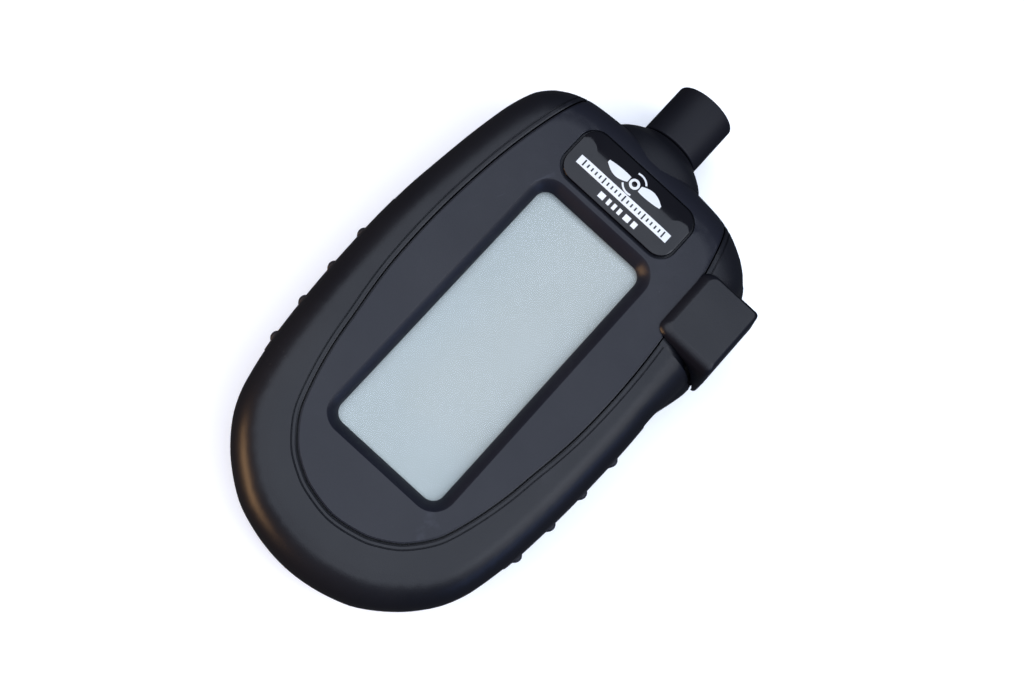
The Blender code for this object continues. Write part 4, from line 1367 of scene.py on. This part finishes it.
def tick_tree(tree, given):
    """Thin blocks in a row on top of the label, every fifth one taller."""
    target = node(tree, "GeometryNodeObjectInfo", {"Object": given["Surface"]}).outputs["Geometry"]
    down = node(tree, "ShaderNodeCombineXYZ", {2: -1.0}).outputs[0]
    points = cast_onto(tree, row_of_points(tree, given), target, down, given["Sunk"])
    in_five = maths(tree, "MODULO", node(tree, "GeometryNodeInputIndex").outputs[0], 5.0)
    tall = maths(tree, "MULTIPLY_ADD", maths(tree, "LESS_THAN", in_five, 0.5), 0.55, 0.75)
    size = node(tree, "ShaderNodeCombineXYZ", {0: 1.0, 1: tall, 2: 1.0}).outputs[0]
    block = node(tree, "GeometryNodeMeshCube", {"Size": given["Size"]}).outputs[0]
    return in_material(tree, given, repeated(tree, points, block, Scale=size))


def tick_marks(dome, settings, material):
    """The dark ticks of the printed scale."""
    pitch = settings.tick_pitch / MM
    start = linked("label_ticks", bpy.data.meshes.new("label_ticks"))
    values = {
        "Surface": (OBJECT, dome),
        "Count": (COUNT, settings.ticks),
        "First": (PLACE, (-pitch * (settings.ticks - 1) / 2, LABEL_Y - 1.5, 45.0)),
        "Pitch": (PLACE, (pitch, 0.0, 0.0)),
        "Sunk": (NUMBER, 0.0),
        "Size": (PLACE, (0.3, 1.0, 0.12)),
        "Material": (MATERIAL, material),
    }
    return grown("ticks", start, tick_tree, values)


def ridge_tree(tree, given):
    """Rounded ridges in a row, each lying across it, with the door itself."""
    rod = rounded_rod(tree, given["Run"], given["Radius"], 16)
    half = maths(tree, "MULTIPLY", given["Run"], -0.5)
    place = node(tree, "ShaderNodeCombineXYZ", {0: half}).outputs[0]
    moved = {"Geometry": rod, "Translation": place, "Rotation": (0, math.pi / 2, 0)}
    rod = node(tree, "GeometryNodeTransform", moved).outputs[0]
    ridges = repeated(tree, row_of_points(tree, given), rod)
    return in_material(tree, given, with_start(tree, given, ridges))


class BatteryDoor(bpy.types.Operator):
    """Battery door with its finger ridges, arrow and hinge tabs"""

    bl_idname = "tachometer.battery_door"
    bl_label = "Battery door"

    def execute(self, context):
        settings = context.scene.tachometer.door
        middle = (DOOR_Y[0] + DOOR_Y[1]) / 2
        outline = rounded_rectangle(2 * DOOR_HALF_WIDTH, DOOR_Y[1] - DOOR_Y[0], 0.8, middle, 6)
        door = soft_edges(prism("door_cover", outline, *DOOR_Z), 0.25, 3, 50)
        for x in (-TAB_X, TAB_X):
            riser = box("riser", (x - 2, x + 2), (12.6, 13.3), (1.0, 3.2))
            tab = box("tab", (x - 1.9, x + 1.9), (12.9, 15.4), (DOOR_Z[1] + GAP, 3.3))
            join(door, riser, soft_edges(tab, 0.15, 2))
        arrow = [(-3.2, -22.5), (0, -27.2), (3.2, -22.5)]
        cut(door, prism("arrow", arrow, -1, DOOR_Z[0] + 0.22))
        bar = rounded_rectangle(14.0, 0.7, 0.34, -20.2, 4)
        cut(door, prism("bar", bar, -1, DOOR_Z[0] + 0.22))
        finish = case_finish(context.scene.tachometer)
        radius = 0.6
        values = {
            "Count": (COUNT, settings.ridges),
            "First": (PLACE, (0.0, DOOR_Y[0] + 3.0, DOOR_Z[0] + radius - 0.2)),
            "Pitch": (PLACE, (0.0, settings.ridge_pitch / MM, 0.0)),
            "Run": (NUMBER, settings.ridge_length / MM),
            "Radius": (NUMBER, radius),
            "Material": (MATERIAL, finish),
        }
        grown("ridges", door, ridge_tree, values)
        settle(door, "door", finish, "case_plastic", "battery_door")
        return {"FINISHED"}


def screw_tree(tree, given):
    """One screw on every point, each stopped at its own angle."""
    screw = node(tree, "GeometryNodeObjectInfo", {"Object": given["Screw"]}).outputs["Geometry"]
    spin = node(tree, "FunctionNodeRandomValue", {"Seed": given["Seed"]}, data_type="FLOAT")
    spin.inputs[3].default_value = math.pi
    turn = node(tree, "ShaderNodeCombineXYZ", {2: spin.outputs[1]}).outputs[0]
    return in_material(tree, given, repeated(tree, given["Geometry"], screw, Rotation=turn))


class CaseScrews(bpy.types.Operator):
    """The four cross-recessed screws in the back of the case"""

    bl_idname = "tachometer.case_screws"
    bl_label = "Case screws"

    def execute(self, context):
        settings = context.scene.tachometer.screw
        head = [(0.6, 0), (0.62, 1.2), (0.75, 1.9), (1.0, 2.35)]
        head += [(1.35, 2.58), (1.6, 2.6), (2.7, 2.6), (2.7, 1.2)]
        thread = []
        for i in range(12):
            thread += [(3.2 + 0.8 * i, 1.0), (3.6 + 0.8 * i, 1.22)]
        profile = [*head, *thread, (13.5, 1.0), (14.4, 0.1), (14.5, 0)]
        screw = turned("screw_shape", profile, (0, 0, 0), (0, 0, 1), 48)
        half, depth = settings.slot_width / MM / 2, settings.slot_depth / MM
        for x, y in (((-1.5, 1.5), (-half, half)), ((-half, half), (-1.5, 1.5))):
            cut(screw, box("slot", x, y, (0, 0.6 + depth)))
        points = bpy.data.meshes.new("case_screws")
        points.from_pydata([screw_place(name) for name in CASE_SCREWS], [], [])
        finish = metal("screw_black_zinc", settings.shade, 0.36)
        values = {"Screw": (OBJECT, screw), "Seed": (COUNT, settings.seed), "Material": (MATERIAL, finish)}
        screws = grown("screws", linked("case_screws", points), screw_tree, values)
        bpy.data.objects.remove(screw)
        settle(screws, "case", finish, "screw_steel", *CASE_SCREWS)
        for name in ("board_screw_1", "board_screw_2", "board_screw_3"):
            dress(name, finish)
        return {"FINISHED"}


def screw_place(name):
    """Where a packed screw's axis meets z = 0, in the case's own millimetres."""
    low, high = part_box(name)
    middle = ((low + high) / 2 - CENTRE) / MM
    return (middle.x, middle.y, 0.0)


# ---------------------------------------------------------------- operators for the sensor and button


class SensorHood(bpy.types.Operator):
    """Sensor hood with its rounded mouth, and the lens inside it"""

    bl_idname = "tachometer.sensor_hood"
    bl_label = "Sensor hood"

    def execute(self, context):
        settings = context.scene.tachometer
        axis, along, rim = (0, 0, PARTING_Z), (0, 1, 0), settings.hood.rim / MM
        start, end = HOOD_Y
        profile = [
            *quarter_round((end - 0.25, HOOD_MOUTH_RADIUS + 0.25), 0.25, -90, 0, 4),
            *quarter_round((end - rim, HOOD_RADIUS - rim), rim, 0, 90),
            (end - 3.0, HOOD_RADIUS),
            (start + 3.0, HOOD_RADIUS),
            *quarter_round((start + 0.3, HOOD_RADIUS - 0.3), 0.3, 90, 180, 4),
            (start, SPIGOT_RADIUS),
            (FLANGE_Y[1], SPIGOT_RADIUS),
            (FLANGE_Y[1], FLANGE_RADIUS),
            (FLANGE_Y[0], FLANGE_RADIUS),
            (FLANGE_Y[0], 3.6),
            (52.0, 3.6),
            (52.0, HOOD_MOUTH_RADIUS),
            (54.9, HOOD_MOUTH_RADIUS),
        ]
        for i in range(6):  # light-trap threads inside the mouth
            profile += [(55.2 + i, HOOD_MOUTH_RADIUS + 0.22), (55.7 + i, HOOD_MOUTH_RADIUS)]
        hood = turned("sensor_tube", profile, axis, along, 128)
        look = settings.hood
        finish = moulded("hood_plastic", look.shade, look.roughness, 0.12, depth=0.000009, wear=0.25)
        settle(hood, "case", finish, "hood_plastic", "sensor_hood")

        lens = [(52.3, 0), (52.3, 4.7), (52.4, 4.8), (53.2, 4.8), (53.3, 4.7)]
        lens += [(54.6 - 1.3 * (r / 4.7) ** 2, r) for r in (4.4, 3.9, 3.3, 2.6, 1.8, 0.9)]
        lens = turned("sensor_glass", [*lens, (54.6, 0)], axis, along, 64)
        look = Finish("lens_clear", 0.05, specular=0.6, IOR=1.49)
        tint = look.use("drift", Shade=(0.1, 0.035, 0.04, 1), Drift=0.2)
        look.set("Base Color", tint["Shade"])
        look.set("Roughness", ramp(look.tree, look.noise(400.0), 0.2, 0.8, 0.03, 0.08))
        look.set("Alpha", ramp(look.tree, look.noise(220.0), 0.2, 0.8, 0.5, 0.56))
        settle(lens, "case", look.material, "clear_lens", "sensor_lens")
        return {"FINISHED"}


def cap_ring(z, left, right, low_y, high_y, left_corner, right_corner, steps=8):
    """One level of the button's cap, with its own corner radii towards the display and the side."""
    points = []
    corners = (
        (right - right_corner, low_y + right_corner, right_corner, -90),
        (right - right_corner, high_y - right_corner, right_corner, 0),
        (left + left_corner, high_y - left_corner, left_corner, 90),
        (left + left_corner, low_y + left_corner, left_corner, 180),
    )
    for x, y, radius, start in corners:
        for i in range(steps + 1):
            turn = math.radians(start + 90 * i / steps)
            points.append((x + radius * math.cos(turn), y + radius * math.sin(turn), z))
    return points


class PushButton(bpy.types.Operator):
    """Push button: the cap that hooks over the case's shoulder, and its stem"""

    bl_idname = "tachometer.push_button"
    bl_label = "Push button"

    def execute(self, context):
        settings = context.scene.tachometer.button
        rounding = settings.rounding / MM
        rings = []
        for z, side, lean in CAP_WALLS:
            inset = CAP_EDGE if z == CAP_Z[0] else 0.0
            rings.append(cap_ring(z, CAP_LEFT + inset, side, CAP_Y[0] + lean, CAP_Y[1] - inset, *CAP_CORNERS))
        for i in range(1, 13):  # the bevel goes on from the last wall's side and lean
            z = CAP_Z[1] - CAP_BEVEL + CAP_BEVEL * math.sin(math.pi / 2 * i / 12)
            drawn, over_face, near_top = (
                soft_chamfer((z - CAP_Z[1] + height) / height) for height in (CAP_BEVEL, FACE_BEVEL, TOP_BEVEL)
            )
            left, right = CAP_LEFT + rounding * over_face, side - 0.4 * drawn - 0.5 * near_top
            low_y, high_y = CAP_Y[0] + lean + 1.3 * drawn + 0.9 * near_top, CAP_Y[1] - 0.55 * near_top
            corners = (CAP_CORNERS[0] - 0.6 * over_face, CAP_CORNERS[1] - 0.3 * near_top)
            rings.append(cap_ring(z, left, right, low_y, high_y, *corners))
        cap = loft("button_cap", rings)
        cut(cap, front_body("shoulder", -0.35, 5, count=160))
        stem_y = (STEM_Y - STEM_HALF, STEM_Y + STEM_HALF)
        join(cap, box("stem", (24.2, 32.0), stem_y, (STEM_Z - STEM_HALF, STEM_Z + STEM_HALF)))
        finish = moulded("button_plastic", settings.shade, settings.roughness, 0.2, wear=0.3)
        settle(cap, "button", finish, "button_plastic", "push_button")
        return {"FINISHED"}


# ---------------------------------------------------------------- operator for what is inside


class InnerFinishes(bpy.types.Operator):
    """Finishes of the circuit board, the battery cells and the other pieces inside the case"""

    bl_idname = "tachometer.inner_finishes"
    bl_label = "Inner finishes"

    def execute(self, context):
        pale = moulded("pale_plastic", (0.6, 0.6, 0.57), 0.5, 0.5, grain=2600.0, wear=0.1, dust=0.05, paler=1.2)
        black = moulded("black_component", (0.012, 0.012, 0.012), 0.4, 0.5, grain=6000.0, wear=0.15, dust=0.05)
        strip = zebra_strip()
        steel = metal("tinned_steel", (0.62, 0.62, 0.61), 0.32)
        board = circuit_board()
        resin = tinted_resin()
        table = {
            pale: ("lcd_frame", "switch_plunger"),
            black: ("switch_body", "processor_chip", "capacitor"),
            strip: ("contact_strip_left", "contact_strip_right"),
            steel: (
                "crystal", "bridge_spring", "negative_spring",
                "bridge_contact", "positive_contact", "negative_contact",
            ),
            board: ("main_board", "sensor_board"),
            resin: ("photo_sensor",),
            wire_cover("wire_red", (0.42, 0.012, 0.014)): ("sensor_lead_red", "battery_lead_red"),
            wire_cover("wire_black", (0.01, 0.01, 0.011)): ("sensor_lead_black", "battery_lead_black"),
        }
        for material, names in table.items():
            for name in names:
                dress(name, material)
        for name, ends in (("battery_cell_left", 1), ("battery_cell_right", -1)):
            dress(name, cell_wrap(name, ends))
        return {"FINISHED"}


def zebra_strip():
    """Rubber connector with fine conducting layers."""
    look = Finish("zebra_strip", 0.65)
    waves = node(look.tree, "ShaderNodeTexWave", {"Vector": look.place, "Scale": 800.0}, bands_direction="Y")
    layers = ramp(look.tree, waves.outputs["Fac"], 0.4, 0.6)
    drift = look.use("drift", Shade=(0.5, 0.44, 0.3, 1))
    look.set("Base Color", mixed(look.tree, layers, drift["Shade"], (0.02, 0.02, 0.02, 1)))
    look.bump(look.noise(2500.0), 0.00001)
    return look.material


def circuit_board():
    """Green solder mask over copper tracks."""
    look = Finish("circuit_board", 0.3, specular=0.5)
    tree = look.tree
    bricks = node(tree, "ShaderNodeTexBrick", {"Vector": look.place, "Scale": 210.0, "Mortar Size": 0.03})
    tracks = bricks.outputs["Fac"]
    drift = look.use("drift", Shade=(0.012, 0.09, 0.035, 1), Drift=0.3)
    look.set("Base Color", mixed(tree, tracks, drift["Shade"], (0.03, 0.2, 0.07, 1)))
    grain = look.use("grain", Grain=5000.0)
    look.set("Roughness", maths(tree, "ADD", grain["Roughness"], 0.32))
    look.bump(tracks, 0.00003)
    return look.material


def tinted_resin():
    """Dark red clear resin of the photo sensor."""
    look = Finish("sensor_resin", 0.12, specular=0.6)
    drift = look.use("drift", Shade=(0.09, 0.012, 0.014, 1), Drift=0.35, Scale=500.0)
    look.set("Base Color", drift["Shade"])
    look.set("Roughness", ramp(look.tree, look.noise(900.0), 0.2, 0.8, 0.08, 0.2))
    look.bump(look.noise(1200.0), 0.000008)
    return look.material


def wire_cover(name, shade):
    """Soft plastic insulation."""
    look = Finish(name, 0.42)
    drift = look.use("drift", Shade=opaque(shade), Drift=0.3, Scale=900.0)
    grain = look.use("grain", Grain=4200.0)
    look.set("Base Color", drift["Shade"])
    look.set("Roughness", maths(look.tree, "ADD", grain["Roughness"], 0.42))
    look.bump(grain["Height"], 0.00001)
    return look.material


def cell_wrap(name, towards):
    """Printed sleeve of a cell, with bare metal at both ends and a band at the nub's end."""
    low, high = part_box(name)
    base, tip = (low.y, high.y) if towards > 0 else (high.y, low.y)
    look = Finish("sleeve_" + name, 0.3, specular=0.5)
    tree = look.tree
    along = look.axis(1)

    def past(distance):
        """1 beyond distance metres from the flat end."""
        edge = base + towards * distance
        return ramp_linear(tree, along, edge - towards * 0.00004, edge + towards * 0.00004)

    shoulder = abs(tip - base) - 0.0016
    sleeve = maths(tree, "MULTIPLY", past(0.0006), maths(tree, "SUBTRACT", 1.0, past(shoulder)))
    band = past(shoulder - 0.0125)
    drift = look.use("drift", Shade=(0.02, 0.035, 0.14, 1), Drift=0.2, Scale=200.0)
    printed_shade = mixed(tree, band, drift["Shade"], (0.52, 0.53, 0.55, 1))
    look.set("Base Color", mixed(tree, sleeve, (0.6, 0.6, 0.59, 1), printed_shade))
    look.set("Metallic", maths(tree, "SUBTRACT", 1.0, maths(tree, "MULTIPLY", sleeve, 0.9)))
    look.set("Roughness", ramp(tree, look.noise(500.0, 3.0), 0.2, 0.8, 0.22, 0.36))
    look.bump(look.noise(700.0, 3.0), 0.00001)
    return look.material


# ---------------------------------------------------------------- operator for the stage


class Stage(bpy.types.Operator):
    """Plain pale floor, soft lights and the camera"""

    bl_idname = "tachometer.stage"
    bl_label = "Stage"

    def execute(self, context):
        settings = context.scene.tachometer.stage
        floor = prism("floor", [(-3, -3), (3, -3), (3, 3), (-3, 3)], -0.02, -0.0001)
        floor.data.materials.append(floor_finish(settings.floor))

        world = bpy.data.worlds.new("studio")
        world.use_nodes = True
        background = world.node_tree.nodes["Background"]
        background.inputs["Color"].default_value = (0.8, 0.86, 1.0, 1)
        background.inputs["Strength"].default_value = 0.045
        context.scene.world = world

        soft_light("key", (0.0, -0.02, 0.8), (1.7, 0.86), settings.key, (0.78, 0.86, 1.0), (0, -0.02, 0))
        soft_light("side", (0.68, 0.12, 0.5), (0.5, 0.5), settings.side, (0.86, 0.9, 1.0), (0, 0, 0.02))
        soft_light("warm", (-0.4, -0.55, 0.1), (0.45, 0.24), settings.warm, (1.0, 0.58, 0.28), (0, -0.03, 0.02))
        soft_light("cool", (0.62, -0.05, 0.09), (0.4, 0.12), settings.cool, (0.2, 0.38, 1.0), (0, 0.02, 0.02))

        tilt, turn = settings.tilt, settings.turn
        across, up = Vector((1, 0, 0)), Vector((0, math.cos(tilt), math.sin(tilt)))
        back = Vector((0, -math.sin(tilt), math.cos(tilt)))
        right = math.cos(turn) * across + math.sin(turn) * up
        top = math.cos(turn) * up - math.sin(turn) * across
        aim = CENTRE + Vector((2.57, 0, THICKNESS)) * MM
        data = bpy.data.cameras.new("camera")
        data.lens = settings.lens
        data.sensor_width = 36.0
        data.clip_start = 0.01
        camera = linked("camera", data)
        camera.matrix_world = Matrix.Translation(aim + back * settings.distance) @ Matrix(
            (right, top, back)
        ).transposed().to_4x4()
        context.scene.camera = camera
        context.scene.view_settings.view_transform = "Standard"
        return {"FINISHED"}


def floor_finish(shade):
    """Plain matt floor: pale to the camera, nearly black to reflections and to bounced light."""
    look = Finish("floor_matt", 0.9, specular=0.1)
    seen = node(look.tree, "ShaderNodeLightPath").outputs["Is Camera Ray"]
    drift = look.use("drift", Shade=opaque(shade), Drift=0.01, Scale=3.0)
    dim = opaque(tuple(channel * FLOOR_UNSEEN for channel in shade))
    look.set("Base Color", mixed(look.tree, seen, dim, drift["Shade"]))
    look.set("Emission Color", mixed(look.tree, seen, (0, 0, 0, 1), drift["Shade"]))
    look.set("Emission Strength", 0.16)
    return look.material


def soft_light(name, place, size, power, shade, aim):
    data = bpy.data.lights.new(name, "AREA")
    data.shape = "RECTANGLE"
    data.size, data.size_y = size
    data.energy = power
    data.color = shade
    light = linked(name, data)
    light.location = place
    light.rotation_euler = (Vector(aim) - Vector(place)).to_track_quat("-Z", "Y").to_euler()


# ---------------------------------------------------------------- panel and registration


OPERATORS = (
    CaseFront, FacePanel, CaseRear, DisplayWindow, Label, Grips,
    SensorHood, PushButton, BatteryDoor, CaseScrews, InnerFinishes, Stage,
)


class TachometerPanel(bpy.types.Panel):
    """Sizes, colours and operators of the tachometer"""

    bl_idname = "VIEW3D_PT_tachometer"
    bl_label = "Tachometer"
    bl_space_type = "VIEW_3D"
    bl_region_type = "UI"
    bl_category = "Tachometer"

    def draw(self, context):
        settings = context.scene.tachometer
        for name in TachometerSettings.__annotations__:
            part = getattr(settings, name)
            column = self.layout.box().column(align=True)
            column.label(text=name.capitalize())
            for field in type(part).__annotations__:
                column.prop(part, field)
        for operator in OPERATORS:
            self.layout.operator(operator.bl_idname)


CLASSES = (
    CaseSettings, PanelSettings, GlassSettings, LabelSettings, HoodSettings, ButtonSettings,
    GripSettings, DoorSettings, ScrewSettings, StageSettings, TachometerSettings,
    *OPERATORS, TachometerPanel,
)


def register():
    for item in CLASSES:
        bpy.utils.register_class(item)
    bpy.types.Scene.tachometer = PointerProperty(type=TachometerSettings)


def unregister():
    del bpy.types.Scene.tachometer
    for item in reversed(CLASSES):
        bpy.utils.unregister_class(item)


def main():
    register()
    for operator in OPERATORS:
        group, name = operator.bl_idname.split(".")
        getattr(getattr(bpy.ops, group), name)()


if __name__ == "__main__":
    main()
